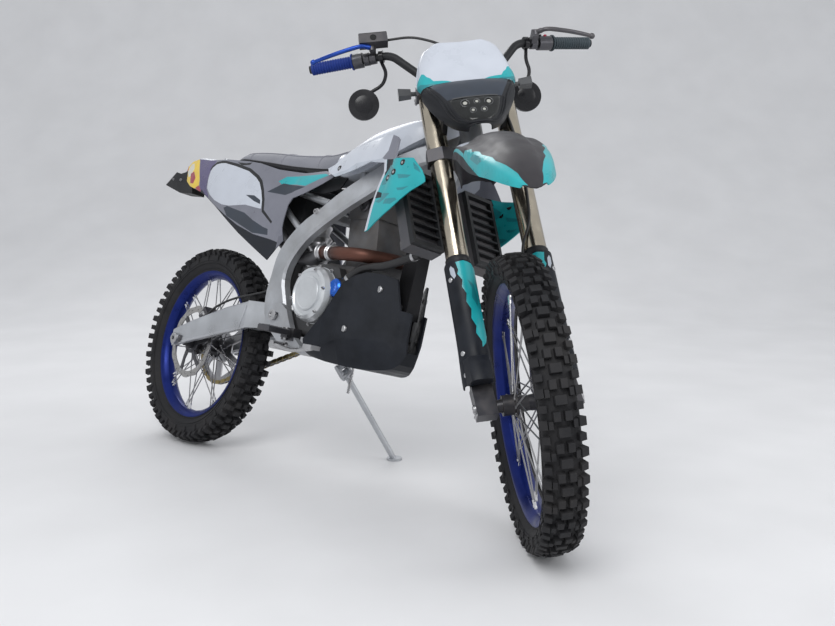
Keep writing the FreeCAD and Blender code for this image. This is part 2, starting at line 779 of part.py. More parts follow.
def airbox():
    case = ruled([[(240, -48, 760), (240, 48, 760), (240, 48, 898), (240, -48, 898)],
                  [(400, -48, 700), (400, 48, 700), (400, 48, 884), (400, -48, 884)],
                  [(462, -48, 742), (462, 48, 742), (462, 48, 880), (462, -48, 880)]])
    intake = pipe([(455, 0, 846), (600, 0, 838), (722, 0, 806)], 27)
    covers = both(slab_y(INTAKE_COVER, 84, 88)) + [cyl_y(610, 838, 6, -86, 86)]
    return fuse([case, intake] + covers).cut(fuse([subframe(), engine()]))


SKID = [
    # x, bottom z, top z, half width at the top, half width at the bottom
    (720, 352, 395, 150, 112),
    (786, 345, 468, 152, 112),
    (842, 342, 561, 147, 108),
    (868, 341, 585, 132, 98),
    (893, 341, 599, 114, 84),
    (927, 344, 601, 86, 66),
    (958, 350, 595, 60, 48),
    (976, 357, 513, 46, 36),
    (993, 372, 512, 36, 28),
    (1006, 400, 509, 30, 22),
]
SKID_T = 6.0


def skid_plate():
    sections = []
    for x, z0, z1, wt, wb in SKID:
        bend = z0 + 0.3 * (z1 - z0)
        wm = wb + 0.75 * (wt - wb)
        t = SKID_T
        outer = [(-wt, z1), (-wm, bend), (-wb, z0), (wb, z0), (wm, bend), (wt, z1)]
        inner = [(wt - t, z1), (wm - t, bend + 1), (wb - t / 2, z0 + t), (t / 2 - wb, z0 + t),
                 (t - wm, bend + 1), (t - wt, z1)]
        sections.append([(x, y, z) for y, z in outer + inner])
    pegs = []
    for s in (1, -1):
        pegs += [cyl((760, s * 78, 349.5), (760, s * 78, 368), 9),
                 cyl((890, s * 56, 345), (890, s * 56, 388), 9)]
    return fuse([ruled(sections)] + pegs).cut(fuse([cradle(1), cradle(-1)]))


def foot_peg(side):
    mount = box(606, 660, 112, 140, 384, 420).cut(fuse([beam(1), heel_casting(1)]))
    shank = box(618, 648, 140, 152, 390, 414)
    tread = box(606, 662, 152, 226, 398, 412)
    slots = [box(612, 656, 158 + 14 * k, 166 + 14 * k, 390, 420) for k in range(5)]
    body = fuse([mount, shank, tread]).cut(fuse(slots))
    return body if side > 0 else mirror(body)


def brake_pedal():
    arm = pipe([(590, -150, 366), (700, -168, 356), (800, -172, 372)], 6)
    return fuse([cyl_y(590, 366, 12, -158, -100), arm, box(790, 826, -198, -166, 368, 380)]).cut(beam(-1))


def gear_lever():
    arm = pipe([(690, 156, 424), (760, 166, 412), (826, 166, 424)], 5.5)
    return fuse([cyl_y(690, 424, 9, 84, 160), arm, cyl_y(826, 424, 8, 162, 190)])


def shock():
    # damper rod and body with the spring between two seats, built upright and tilted
    ring = [(0, 500), (9, 500), (9, 520), (34, 520), (34, 528)]
    for k in range(7):
        ring += [(37, 534 + 28 * k), (28, 548 + 28 * k)]
    ring += [(34, 734), (34, 742), (24, 742), (24, 780), (0, 780)]
    body = face_of([(r, 0, z) for r, z in ring]).revolve(V(0, 0, 0), V(0, 0, 1), 360)
    body.rotate(V(0, 0, 500), V(0, 1, 0), -8.2)
    body.translate(V(538, 0, 8))
    return body


def linkage():
    body = slab_y([(470, 384), (552, 352), (562, 372), (552, 508), (524, 508), (508, 470), (514, 410)],
                  -22, 22)
    return body.cut(fuse([pivot_bolt(), shock()]))


# brakes, hoses

def caliper(x, z, y0, y1, deg):
    body = slab_y([(-34, -20), (30, -24), (38, 0), (28, 26), (-36, 22)], y0, y1)
    slot_y = (y0 + y1) / 2
    slot = box(-60, 60, slot_y - 4, slot_y + 4, -60, 14)
    out = body.cut(slot)
    out.rotate(V(0, 0, 0), V(0, 1, 0), deg)
    out.translate(V(x, 0, z))
    return out


def rear_caliper():
    away = 112.0
    turn = 44.0
    x = away * math.sin(math.radians(turn))
    z = REAR_R + away * math.cos(math.radians(turn))
    y = REAR_DISC["y"]
    bracket = slab_y([(50, REAR_R + 9), (112, REAR_R + 25), (104, REAR_R + 93), (66, REAR_R + 93)],
                     -ARM_Y + ARM_W, y - 20)
    return fuse([caliper(x, z, y - 20, y + 20, turn), bracket])


def rear_hose():
    return pipe([(90, -82, 420), (132, -84, 452), (200, -83, 480), (264, -84, 496), (330, -83, 508),
                 (400, -82, 522), (462, -84, 546), (510, -106, 572)], 3.5).cut(fuse([rear_caliper(), beam(-1)]))


# steering parts in the fork frame: w ahead of the steering axis, y left, s up along it

def fork_clamp(s0, s1, front, bar_mount):
    w = CLAMP_OFFSET
    wide = FORK_HALF + 34
    outline = [(-30, -18), (-30, 18), (-16, 44), (w - 14, wide), (w + 22, wide), (w + 34, FORK_HALF - 6),
               (front, 40), (front, -40), (w + 34, 6 - FORK_HALF), (w + 22, -wide), (w - 14, -wide),
               (-16, -44)]
    body = slab_z(outline, s0, s1)
    holes = [cyl((w, y, s0 - 5), (w, y, s1 + 5), UPPER_R) for y in (FORK_HALF, -FORK_HALF)]
    body = body.cut(fuse(holes))
    if bar_mount:
        risers = [box(-20, 20, y - 14, y + 14, s1, BAR_Z + 20) for y in (50, -50)]
        body = fuse([body] + risers)
        body = body.cut(cyl((0, -100, BAR_Z), (0, 100, BAR_Z), BAR_R + 3.2))
    return body


def upper_clamp():
    return fork_clamp(CLAMP_TOP[0], CLAMP_TOP[1], 34, True)


def lower_clamp():
    body = fork_clamp(CLAMP_LOW[0], CLAMP_LOW[1], 34, False)
    stem = cyl((0, 0, CLAMP_LOW[0]), (0, 0, CLAMP_TOP[0]), STEM_R)
    return fuse([body, stem])


def fork_upper(side):
    w, y = CLAMP_OFFSET, side * FORK_HALF
    body = cyl((w, y, FORK_JOINT), (w, y, FORK_TOP), UPPER_R)
    cap = slab_z([(w + 20 * math.cos(math.radians(60 * k)), y + 20 * math.sin(math.radians(60 * k)))
                  for k in range(6)], FORK_TOP, FORK_TOP + 12)
    return fuse([body, cap]).cut(cyl((w, y, FORK_JOINT - 1), (w, y, FORK_JOINT + 40), LOWER_R))


def fork_lower(side):
    w, y = CLAMP_OFFSET, side * FORK_HALF
    tube_ = cyl((w, y, AXLE_S + 40), (w, y, FORK_JOINT + 40), LOWER_R)
    lug_ = ruled([[(w - 26, y - side * 24, AXLE_S + 60), (w + 24, y - side * 24, AXLE_S + 60),
                   (w + 24, y + side * 24, AXLE_S + 60), (w - 26, y + side * 24, AXLE_S + 60)],
                  [(w + 8, y - side * 24, AXLE_S - 24), (w + 56, y - side * 24, AXLE_S - 24),
                   (w + 56, y + side * 24, AXLE_S - 24), (w + 8, y + side * 24, AXLE_S - 24)]])
    hole = cyl((w + AXLE_LEAD, -200, AXLE_S), (w + AXLE_LEAD, 200, AXLE_S), FRONT_AXLE_R)
    return fuse([tube_, lug_]).cut(hole)


def fork_guard(side):
    # a shield wrapped round the front and outer side of the lower leg
    w, y = CLAMP_OFFSET, side * FORK_HALF
    s0, s1 = AXLE_S + 62, FORK_JOINT - 6
    outline = []
    inline = []
    for k in range(7):
        a = math.radians(-65 + 30 * k)
        outline.append((w + 37 * math.cos(a), y + side * 37 * math.sin(a)))
        inline.append((w + 33 * math.cos(a), y + side * 33 * math.sin(a)))
    blade = slab_z(outline + inline[::-1], s0, s1)
    toe = slab_z([(w + 26, y - side * 30), (w + 64, y - side * 26), (w + 66, y + side * 26),
                  (w + 27, y + side * 34)], s0 - 4, s0 + 60)
    keep = cyl((w, y, s0 - 20), (w, y, s1 + 20), 33)
    pads = slab_z([(w + 20, y - 8), (w + 36, y - 8), (w + 36, y + 8), (w + 20, y + 8)], s0 + 80, s0 + 110)
    pads = pads.cut(cyl((w, y, s0), (w, y, s1), LOWER_R))
    return fuse([blade, toe.cut(keep), pads])


def front_axle():
    w = CLAMP_OFFSET + AXLE_LEAD
    half = FORK_HALF + 30
    body = fuse([cyl((w, -half, AXLE_S), (w, half, AXLE_S), FRONT_AXLE_R),
                 cyl((w, FORK_HALF + 24, AXLE_S), (w, FORK_HALF + 29, AXLE_S), 16)])
    return body.cut(cyl((w, -200, AXLE_S), (w, 200, AXLE_S), AXLE_BORE_R))


def handlebar():
    ends = [tuple(BAR_END), tuple(BAR_BEND), (0, 96, BAR_Z)]
    path = [(w, -y, s) for w, y, s in ends] + ends[::-1]
    bar = pipe(path, BAR_R, 58)
    middle = cyl((0, -66, BAR_Z), (0, 66, BAR_Z), BAR_R + 3.2)
    bores = [bar_bore(1), bar_bore(-1)]
    return fuse([bar, middle]).cut(fuse(bores))


def bar_bore(side):
    inward = BAR_BEND.sub(BAR_END)
    inward.normalize()
    a = BAR_END.sub(inward * 1)
    b = BAR_END.add(inward * BAR_BORE_DEPTH)
    return cyl((a.x, side * a.y, a.z), (b.x, side * b.y, b.z), BAR_BORE_R)


def on_bar(side, y0, y1, r):
    # a sleeve round the outer run of the bar, from y0 to y1
    run = BAR_END.sub(BAR_BEND)
    a = BAR_BEND.add(run * ((y0 - BAR_BEND.y) / run.y))
    b = BAR_BEND.add(run * ((y1 - BAR_BEND.y) / run.y))
    body = cyl((a.x, a.y, a.z), (b.x, b.y, b.z), r)
    core = cyl((BAR_BEND.x, BAR_BEND.y, BAR_BEND.z), (BAR_END.x, BAR_END.y, BAR_END.z), BAR_R)
    body = body.cut(core)
    return body if side > 0 else mirror(body)


def grip(side):
    parts = [on_bar(side, BAR_HALF - GRIP_LEN, BAR_HALF - 2, GRIP_R), on_bar(side, BAR_HALF - GRIP_LEN - 4,
             BAR_HALF - GRIP_LEN, GRIP_R + 6)]
    return fuse(parts)


def lever(side):
    tip = BAR_HALF - 11
    body = pipe([(16, side * (PERCH_Y + 2), FORK_TOP + 162), (36, side * (PERCH_Y + 30), FORK_TOP + 156),
                 (26, side * (PERCH_Y + 94), FORK_TOP + 148), (-6, side * tip, FORK_TOP + 150)], 5)
    ball = Part.makeSphere(8, V(-6, side * tip, FORK_TOP + 150))
    return fuse([body, ball])


def master_pump():
    outer = -PERCH_Y - 36
    inner = 42 - PERCH_Y
    return ruled([[(12, outer, s), (42, outer, s), (42, inner, s), (12, inner, s)]
                  for s in (FORK_TOP + 162, FORK_TOP + 192)])


def right_controls():
    perch = on_bar(-1, PERCH_Y - 8, PERCH_Y + 8, 17)
    link = box(-8, 20, -PERCH_Y - 8, 8 - PERCH_Y, FORK_TOP + 156, FORK_TOP + 172).cut(handlebar())
    throttle = on_bar(-1, PERCH_Y + 28, PERCH_Y + 54, 21)
    switch = on_bar(-1, PERCH_Y + 10, PERCH_Y + 24, 18)
    return fuse([perch, master_pump(), link, throttle, switch, lever(-1)])


def left_controls():
    perch = on_bar(1, PERCH_Y - 8, PERCH_Y + 8, 17)
    link = box(-8, 24, PERCH_Y - 8, PERCH_Y + 8, FORK_TOP + 144, FORK_TOP + 168).cut(handlebar())
    switch = on_bar(1, PERCH_Y + 14, PERCH_Y + 52, 20)
    return fuse([perch, link, switch, lever(1)])


# side of the bar, then y and s of the round head, both taken from the fork top
MIRRORS = {1: (178.0, -6.0), -1: (269.0, 18.0)}
MIRROR_R = 42.0


def mirror_arm(side):
    y, rise = MIRRORS[side]
    clip_y = PERCH_Y - 22.5
    arm = pipe([(-26, side * clip_y, FORK_TOP + 141), (-22, side * (clip_y - 8), FORK_TOP + 102),
                (-24, side * (clip_y + 0.1 * (y - clip_y)), FORK_TOP + 66),
                (-31, side * y, FORK_TOP + rise + 20)], 5)
    clip = on_bar(side, clip_y - 5.5, clip_y + 5.5, 17)
    return fuse([arm, clip])


def mirror_head(side):
    y, rise = MIRRORS[side]
    disc = Part.makeCylinder(MIRROR_R, 12, V(0, 0, -6), V(0, 0, 1))
    disc.rotate(V(0, 0, 0), V(0, 1, 0), 90 + CASTER_DEG)
    disc.translate(V(-40, side * y, FORK_TOP + rise))
    return disc


def number_plate():
    # rise over the fork top, half width, depth ahead of the steering axis
    sections = []
    for rise, half, w in ((-44, 122, 100), (-34, 131, 99), (4, 128, 94), (48, 118, 88), (82, 107, 84),
                          (96, 98, 83), (104, 80, 82)):
        s = FORK_TOP + rise
        sections.append([(w - 34, -half, s), (w, -half * 0.72, s), (w + 6, 0, s), (w, half * 0.72, s),
                         (w - 34, half, s), (w - 38, half - 3, s), (w - 4, half * 0.7, s), (w + 2, 0, s),
                         (w - 4, -half * 0.7, s), (w - 38, 3 - half, s)])
    return ruled(sections)


MASK = [
    # s from the fork top, half width, front w, rear w
    (-216, 30, 156, 128),
    (-188, 62, 150, 104),
    (-142, 90, 142, 84),
    (-98, 112, 132, 72),
    (-64, 124, 118, 66),
    (-44, 122, 102, 66),
]


def headlight_mask():
    sections = []
    for rise, half, w1, w0 in MASK:
        s = FORK_TOP + rise
        sections.append([(w0, -half, s), (w0 + 0.5 * (w1 - w0), -half * 0.96, s), (w1, -half * 0.6, s),
                         (w1 + 6, 0, s), (w1, half * 0.6, s), (w0 + 0.5 * (w1 - w0), half * 0.96, s),
                         (w0, half, s)])
    tabs = [box(30, 96, y - 7, y + 7, FORK_TOP - 156, FORK_TOP - 130) for y in (77, -77)]
    return fuse([ruled(sections)] + tabs).cut(fuse([lens_block(), fork_upper(1), fork_upper(-1)]))


def lens_block():
    right = [(66, -126), (58, -156), (44, -188), (24, -206)]
    points = right + [(-y, rise) for y, rise in right[::-1]]
    block = face_of([(120, y, FORK_TOP + rise) for y, rise in points]).extrude(V(60, 0, 0))
    return block


def headlight_lens():
    sections = []
    for rise, half, w1, w0 in MASK:
        s = FORK_TOP + rise
        sections.append([(w0 + 20, -half * 0.9, s), (w1 + 1, -half * 0.6, s), (w1 + 8, 0, s),
                         (w1 + 1, half * 0.6, s), (w0 + 20, half * 0.9, s)])
    return ruled(sections).common(lens_block())


FENDER = [
    # x, crown z and edge z from the foot of the lower clamp, half width
    (-38, -33, -51, 44),
    (37, -14, -33, 58),
    (137, 31, -7, 84),
    (257, 51, -1, 94),
    (417, 29, -47, 91),
    (547, -17, -75, 71),
    (626, -58, -99, 48),
    (672, -96, -113, 24),
]
FENDER_T = 3.5


def front_fender():
    sections = []
    foot_x, foot_z = head_point(0, CLAMP_LOW[0] - CLAMP_LOW[1])
    for ahead, crown, edge, hw in FENDER:
        x = foot_x + ahead
        zc = foot_z + crown
        ze = foot_z + edge
        outer = [(x, -hw, ze), (x, -hw * 0.94, ze + 0.7 * (zc - ze)), (x, -hw * 0.5, zc - 4), (x, 0, zc),
                 (x, hw * 0.5, zc - 4), (x, hw * 0.94, ze + 0.7 * (zc - ze)), (x, hw, ze)]
        t = FENDER_T
        inner = [(x, hw - t, ze), (x, hw * 0.94 - t, ze + 0.7 * (zc - ze) - t), (x, hw * 0.5, zc - 4 - t),
                 (x, 0, zc - t), (x, -hw * 0.5, zc - 4 - t), (x, t - hw * 0.94, ze + 0.7 * (zc - ze) - t),
                 (x, t - hw, ze)]
        sections.append(outer + inner)
    pad = in_fork(box(2, 42, -26, 26, CLAMP_LOW[0] - 32, CLAMP_LOW[0]))
    return fuse([ruled(sections), pad])


def indicator(side):
    s = (CLAMP_TOP[0] + CLAMP_TOP[1]) / 2
    y = FORK_HALF + 48
    stalk = cyl((33, side * (y - 20), s), (35, side * y, s), 6)
    ends = ((y, 26, 44, 10), (y + 34, 25, 48, 12))
    lamp = ruled([[(w0, side * at, s - h), (w1, side * at, s - h), (w1, side * at, s + h), (w0, side * at, s + h)]
                  for at, w0, w1, h in ends])
    return fuse([stalk, lamp]).cut(upper_clamp())


def front_caliper():
    w = CLAMP_OFFSET + AXLE_LEAD
    away = 124.0
    turn = -48.0
    x = w + away * math.sin(math.radians(turn))
    s = AXLE_S + away * math.cos(math.radians(turn))
    inner = FORK_HALF - 24
    bracket = slab_y([(x - 24, s - 20), (x + 34, s + 16), (w - 26, AXLE_S + 56), (w - 30, AXLE_S + 22)],
                     inner - 8, inner)
    return fuse([caliper(x, s, 2 * FRONT_DISC["y"] - inner, inner, turn), bracket]).cut(fork_lower(1))


def front_hose():
    route = [(26, 42 - PERCH_Y, FORK_TOP + 176), (46, -120, FORK_TOP + 164), (58, -50, FORK_TOP + 124),
             (58, 14, FORK_TOP + 62), (57, 56, FORK_TOP - 8), (60, 84, 1180),
             (62, 98, 1090), (64, 102, 1000), (63, 99, 905), (58, 92, 820), (40, 62, 762), (30, 58, 690),
             (24, 58, 600), (0, 62, 520), (-48, 66, 452)]
    return pipe(route, 3.5).cut(fuse([front_caliper(), master_pump()]))


# resting pose: lean, then pitch and drop until both tyres stand on the ground

LEAN = FreeCAD.Placement(V(0, 0, 0), FreeCAD.Rotation(V(1, 0, 0), -LEAN_DEG))
STEER = FreeCAD.Placement(V(0, 0, 0), FreeCAD.Rotation(AXIS_DIR, -LOCK_DEG), AXIS_FOOT)


def lowest(points, place):
    low = None
    for p in points:
        q = place.multVec(p)
        if low is None or q.z < low.z:
            low = q
    return low


def rest_place(rear_tyre, front_tyre):
    rear_points = [v.Point for v in rear_tyre.Vertexes]
    front_points = [STEER.multVec(v.Point) for v in front_tyre.Vertexes]
    place = LEAN
    for _ in range(6):
        a = lowest(rear_points, place)
        b = lowest(front_points, place)
        pitch = math.degrees(math.atan2(b.z - a.z, b.x - a.x))
        place = FreeCAD.Placement(V(0, 0, 0), FreeCAD.Rotation(V(0, 1, 0), pitch)).multiply(place)
        a = lowest(rear_points, place)
        place = FreeCAD.Placement(V(0, 0, -a.z), FreeCAD.Rotation()).multiply(place)
    return place


# side stand: its foot is set on the ground of the resting pose and taken back to the design frame

def stand_foot(rest):
    return rest.inverse().multVec(V(STAND_FOOT[0], STAND_FOOT[1], 0))


def stand_axis(rest):
    down = stand_foot(rest).sub(V(*STAND_PIVOT))
    axis = down.cross(V(*STAND_FOLDED))
    axis.normalize()
    return axis


def stand_lug(rest):
    # two ears and a pin, carried by a stub under the beam
    axis = stand_axis(rest)
    at = V(*STAND_PIVOT)
    up = V(0, 0, 1).sub(axis * axis.z)
    up.normalize()
    gap = STAND_HEAD / 2 + RUN
    ears = [at.sub(axis * (gap + STAND_EAR)), at.add(axis * gap)]
    lugs = []
    for ear in ears:
        for rise in (0, 12, 24):
            lugs.append(Part.makeCylinder(15, STAND_EAR, ear.add(up * rise), axis))
    bridge = Part.makeCylinder(9, 2 * gap + 2 * STAND_EAR, ears[0].add(up * 27), axis)
    root = at.add(up * 29)
    arm = cyl((root.x, root.y, root.z), (STAND_PIVOT[0], 104, 386), 10)
    pin = Part.makeCylinder(STAND_PIN_R, 2 * gap + 2, ears[1].sub(axis * (2 * gap + 1)), axis)
    return fuse(lugs + [bridge, arm, pin])


def side_stand(rest):
    axis = stand_axis(rest)
    at = V(*STAND_PIVOT)
    foot = stand_foot(rest)
    head = Part.makeCylinder(15, STAND_HEAD, at.sub(axis * (STAND_HEAD / 2)), axis)
    along = foot.sub(at)
    length = along.Length
    along.normalize()
    leg = Part.makeCylinder(STAND_R, length - 6, at, along)
    pad = Part.makeCylinder(24, 7, V(STAND_FOOT[0], STAND_FOOT[1], 0), V(0, 0, 1))
    pad.Placement = rest.inverse().multiply(pad.Placement)
    cut_low = Part.makeBox(200, 200, 40, V(STAND_FOOT[0] - 100, STAND_FOOT[1] - 100, -40))
    cut_low.Placement = rest.inverse().multiply(cut_low.Placement)
    hole = Part.makeCylinder(STAND_PIN_R + AXLE_FIT, 60, at.sub(axis * 30), axis)
    return fuse([head, leg, pad]).cut(fuse([cut_low, hole]))


def moved(shape, x, z):
    out = shape.copy()
    out.translate(V(x, 0, z))
    return out


def front_wheel_nodes():
    half = FORK_HALF - 24 - 1.0
    return {
        "front_tyre": tyre(FRONT_TYRE),
        "front_rim": rim(bead_radius(FRONT_TYRE), FRONT_RIM_HALF),
        "front_hub": hub(FRONT_FLANGE, half, FRONT_AXLE_R + AXLE_FIT, FRONT_DISC["y"] + 5),
        "front_spokes": spokes(FRONT_FLANGE, bead_radius(FRONT_TYRE) - RUN - RIM_DEPTH - 0.2),
        "front_disc": brake_disc(FRONT_DISC, HUB_SEAT_R + 0.1),
    }


def rear_wheel_nodes():
    half = ARM_Y - ARM_W - 1.0
    return {
        "rear_tyre": tyre(REAR_TYRE),
        "rear_rim": rim(bead_radius(REAR_TYRE), REAR_RIM_HALF),
        "rear_hub": hub(REAR_FLANGE, half, REAR_AXLE_R + AXLE_FIT, CHAIN_Y + 5),
        "rear_spokes": spokes(REAR_FLANGE, bead_radius(REAR_TYRE) - RUN - RIM_DEPTH - 0.2),
        "rear_disc": brake_disc(REAR_DISC, HUB_SEAT_R + 0.1),
        "rear_sprocket": rear_sprocket(HUB_SEAT_R + 0.1),
    }


def root_nodes(rest):
    return {
        "frame": frame(rest),
        "subframe": subframe(),
        "swingarm": swingarm(),
        "rear_axle": Part.makeCompound([rear_axle(), pivot_bolt()]),
        "engine": engine(),
        "clutch_cover": clutch_cover(),
        "water_pump": water_pump(),
        "generator_cover": generator_cover(),
        "chain": chain(),
        "exhaust_header": exhaust(),
        "muffler": muffler(),
        "radiators": Part.makeCompound([radiator(1), radiator(-1)]),
        "radiator_louvres": Part.makeCompound([louvre(1), louvre(-1)]),
        "shrouds": Part.makeCompound([shroud(1), shroud(-1)]),
        "tank_cover": tank_cover(),
        "seat": seat(),
        "side_panels": Part.makeCompound([side_panel(k) for k in (1, -1)]),
        "rear_fender": rear_fender(),
        "plate_bracket": plate_bracket(),
        "tail_lamp": tail_lamp(),
        "airbox": airbox(),
        "skid_plate": skid_plate(),
        "footpegs": Part.makeCompound([foot_peg(1), foot_peg(-1)]),
        "foot_levers": Part.makeCompound([brake_pedal(), gear_lever()]),
        "shock": Part.makeCompound([shock(), linkage()]),
        "rear_caliper": rear_caliper(),
        "rear_brake_hose": rear_hose(),
    }


def steering_nodes():
    return {
        "fork_clamps": Part.makeCompound([upper_clamp(), lower_clamp()]),
        "fork_uppers": Part.makeCompound([fork_upper(1), fork_upper(-1)]),
        "fork_lowers": Part.makeCompound([fork_lower(1), fork_lower(-1)]),
        "fork_guards": Part.makeCompound([fork_guard(1), fork_guard(-1)]),
        "front_axle": front_axle(),
        "handlebar": handlebar(),
        "grips": Part.makeCompound([grip(1), grip(-1)]),
        "controls": Part.makeCompound([left_controls(), right_controls()]),
        "mirrors": Part.makeCompound([fuse([mirror_arm(k), mirror_head(k)]) for k in (1, -1)]),
        "number_plate": number_plate(),
        "headlight_mask": headlight_mask(),
        "headlight_lens": headlight_lens(),
        "indicators": Part.makeCompound([indicator(1), indicator(-1)]),
        "front_caliper": front_caliper(),
        "front_brake_hose": front_hose(),
    }


def build():
    rear = {k: moved(s, 0, REAR_R) for k, s in rear_wheel_nodes().items()}
    front = {k: moved(s, WHEELBASE, FRONT_R) for k, s in front_wheel_nodes().items()}
    rest = rest_place(rear["rear_tyre"], front["front_tyre"])
    steered = {k: in_fork(s) for k, s in steering_nodes().items()}
    steered["front_fender"] = front_fender()
    groups = {
        "body": root_nodes(rest),
        "steering": steered,
        "front_wheel": front,
        "rear_wheel": rear,
        "side_stand": {"side_stand": side_stand(rest)},
    }
    turned = rest.multiply(STEER)
    placed = {}
    for group, nodes in groups.items():
        place = turned if group in ("steering", "front_wheel") else rest
        placed[group] = {}
        for name, shape in nodes.items():
            out = shape.copy()
            out.Placement = place.multiply(out.Placement)
            placed[group][name] = out
    return groups, placed, rest


def outer_box(placed):
    whole = FreeCAD.BoundBox()
    for nodes in placed.values():
        for shape in nodes.values():
            whole.add(shape.optimalBoundingBox(False))
    return whole


os.makedirs("parts", exist_ok=True)
GROUPS, PLACED, REST = build()
WHOLE = outer_box(PLACED)
SHIFT = V(-WHOLE.Center.x, -WHOLE.Center.y, 0)
for nodes in PLACED.values():
    for name, shape in nodes.items():
        shape.translate(SHIFT)
        shape.exportStep("parts/" + name + ".step")
print("box", round(WHOLE.XLength), round(WHOLE.YLength), round(WHOLE.ZLength), "low", round(WHOLE.ZMin, 3))
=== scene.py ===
import bpy
import bmesh
import json
from math import asin, atan2, copysign, cos, exp, hypot, pi, radians, sin
from mathutils import Matrix, Vector
from mathutils.geometry import delaunay_2d_cdt


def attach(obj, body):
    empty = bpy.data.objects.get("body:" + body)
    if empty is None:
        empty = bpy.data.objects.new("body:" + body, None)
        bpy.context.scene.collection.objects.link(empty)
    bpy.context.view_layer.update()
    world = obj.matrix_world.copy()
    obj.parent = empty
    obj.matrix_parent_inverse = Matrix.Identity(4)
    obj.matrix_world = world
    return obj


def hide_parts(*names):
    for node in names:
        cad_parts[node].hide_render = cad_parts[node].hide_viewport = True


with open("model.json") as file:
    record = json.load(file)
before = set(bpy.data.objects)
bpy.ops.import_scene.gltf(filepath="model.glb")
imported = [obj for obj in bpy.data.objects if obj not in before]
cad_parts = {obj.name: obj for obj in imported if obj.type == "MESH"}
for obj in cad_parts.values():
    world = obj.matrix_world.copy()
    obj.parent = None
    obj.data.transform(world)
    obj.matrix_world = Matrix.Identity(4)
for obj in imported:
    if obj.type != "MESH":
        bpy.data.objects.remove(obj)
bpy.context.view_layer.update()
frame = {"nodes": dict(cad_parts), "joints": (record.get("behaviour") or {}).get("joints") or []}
NODES = frame["nodes"]

# Bike frame: x forward from the rear axle, y left, z up from the ground, bike upright, mm in the tables.
MM = 0.001
CASTER = radians(26.9)
LOCK = radians(43.0)
WHEELBASE = 1465.0
# wheels: tyre radius, lug height, half width, wall height, pitches of the tread, half width of the rim,
# radius, place and thickness of the hub's flanges and of the brake disc
FRONT = {"name": "front", "r": 344.0, "lug": 13.0, "half": 40.0, "wall": 67.0, "pitches": 34, "rim": 27.0,
         "flange": (31.0, 30.0, 5.0), "disc": (135.0, 56.0, 3.5)}
REAR = {"name": "rear", "r": 331.0, "lug": 15.0, "half": 43.0, "wall": 80.0, "pitches": 30, "rim": 29.0,
        "flange": (40.0, 34.0, 6.0), "disc": (122.5, -60.0, 4.0)}
# fork: its tubes ahead of the steering axis, the axle ahead of the tubes, the tubes from the middle, its top
FORK_W = 22.0
AXLE_LEAD = 32.0
FORK_HALF = 98.0
FORK_TOP = 1268.0
# x and z of the clutch's and the water pump's middles
CLUTCH = (698, 523)
PUMP = (785, 548)
TRAIL = (FRONT["r"] * sin(CASTER) - FORK_W - AXLE_LEAD) / cos(CASTER)
AXLE_S = TRAIL * sin(CASTER) + FRONT["r"] * cos(CASTER)
AXIS_FOOT = Vector((WHEELBASE + TRAIL, 0, 0)) * MM


def put(name, data):
    # a new object in the scene
    obj = bpy.data.objects.new(name, data)
    bpy.context.scene.collection.objects.link(obj)
    return obj


def joint(name):
    # place and direction of a joint's axis at rest
    found = [j for j in frame["joints"] if j["name"] == name][0]
    return Vector(found["pos_m"]), Vector(found["axis"]).normalized()


def rest_matrix():
    # the parked pose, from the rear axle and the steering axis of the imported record
    axle, left = joint("rear_wheel")
    stem = joint("steering")[1]
    ahead = left.cross(stem)
    x = cos(CASTER) * ahead - sin(CASTER) * stem
    z = sin(CASTER) * ahead + cos(CASTER) * stem
    out = Matrix((x, left, z)).transposed().to_4x4()
    out.translation = axle - out.to_3x3() @ Vector((0, 0, REAR["r"] * MM))
    return out


REST = rest_matrix()
AXIS_DIR = Vector((-sin(CASTER), 0, cos(CASTER)))
TO_AXIS = Matrix.Translation(AXIS_FOOT)
STEERED = REST @ TO_AXIS @ Matrix.Rotation(-LOCK, 4, AXIS_DIR) @ TO_AXIS.inverted()
FORK = STEERED @ TO_AXIS @ Matrix.Rotation(-CASTER, 4, "Y")
# the body that a piece rides and the frame that it is modelled in
RIDES = {"bike": ("body", REST), "stand": ("side_stand", REST), "steered": ("steering", STEERED),
         "fork": ("steering", FORK),
         "front": ("front_wheel", STEERED @ Matrix.Translation((WHEELBASE * MM, 0, FRONT["r"] * MM))),
         "rear": ("rear_wheel", REST @ Matrix.Translation((0, 0, REAR["r"] * MM)))}


# materials

def fill(nt, made, sockets):
    # each socket of a node gets a value or a link from another node's socket
    for key, value in sockets.items():
        if isinstance(value, bpy.types.NodeSocket):
            nt.links.new(value, made.inputs[key])
        else:
            made.inputs[key].default_value = value
    return made.outputs


def node(nt, kind, sockets, mode=None):
    made = nt.nodes.new("ShaderNode" + kind)
    if mode:
        made.operation = mode
    return fill(nt, made, sockets)


def local_place(name):
    # from the bike frame to the coordinates of a CAD node
    return NODES[name].matrix_world.inverted() @ REST


def beyond(name, axis, at):
    # a mask of the part of a CAD node beyond a plane, given in the bike frame in mm
    def mask(nt, place):
        turn = local_place(name)
        normal = (turn.to_3x3() @ Vector(axis)).normalized()
        dot = node(nt, "VectorMath", {0: place, 1: normal}, "DOT_PRODUCT")["Value"]
        return node(nt, "Math", {0: dot, 1: normal.dot(turn @ (Vector(at) * MM))}, "GREATER_THAN")[0]
    return mask


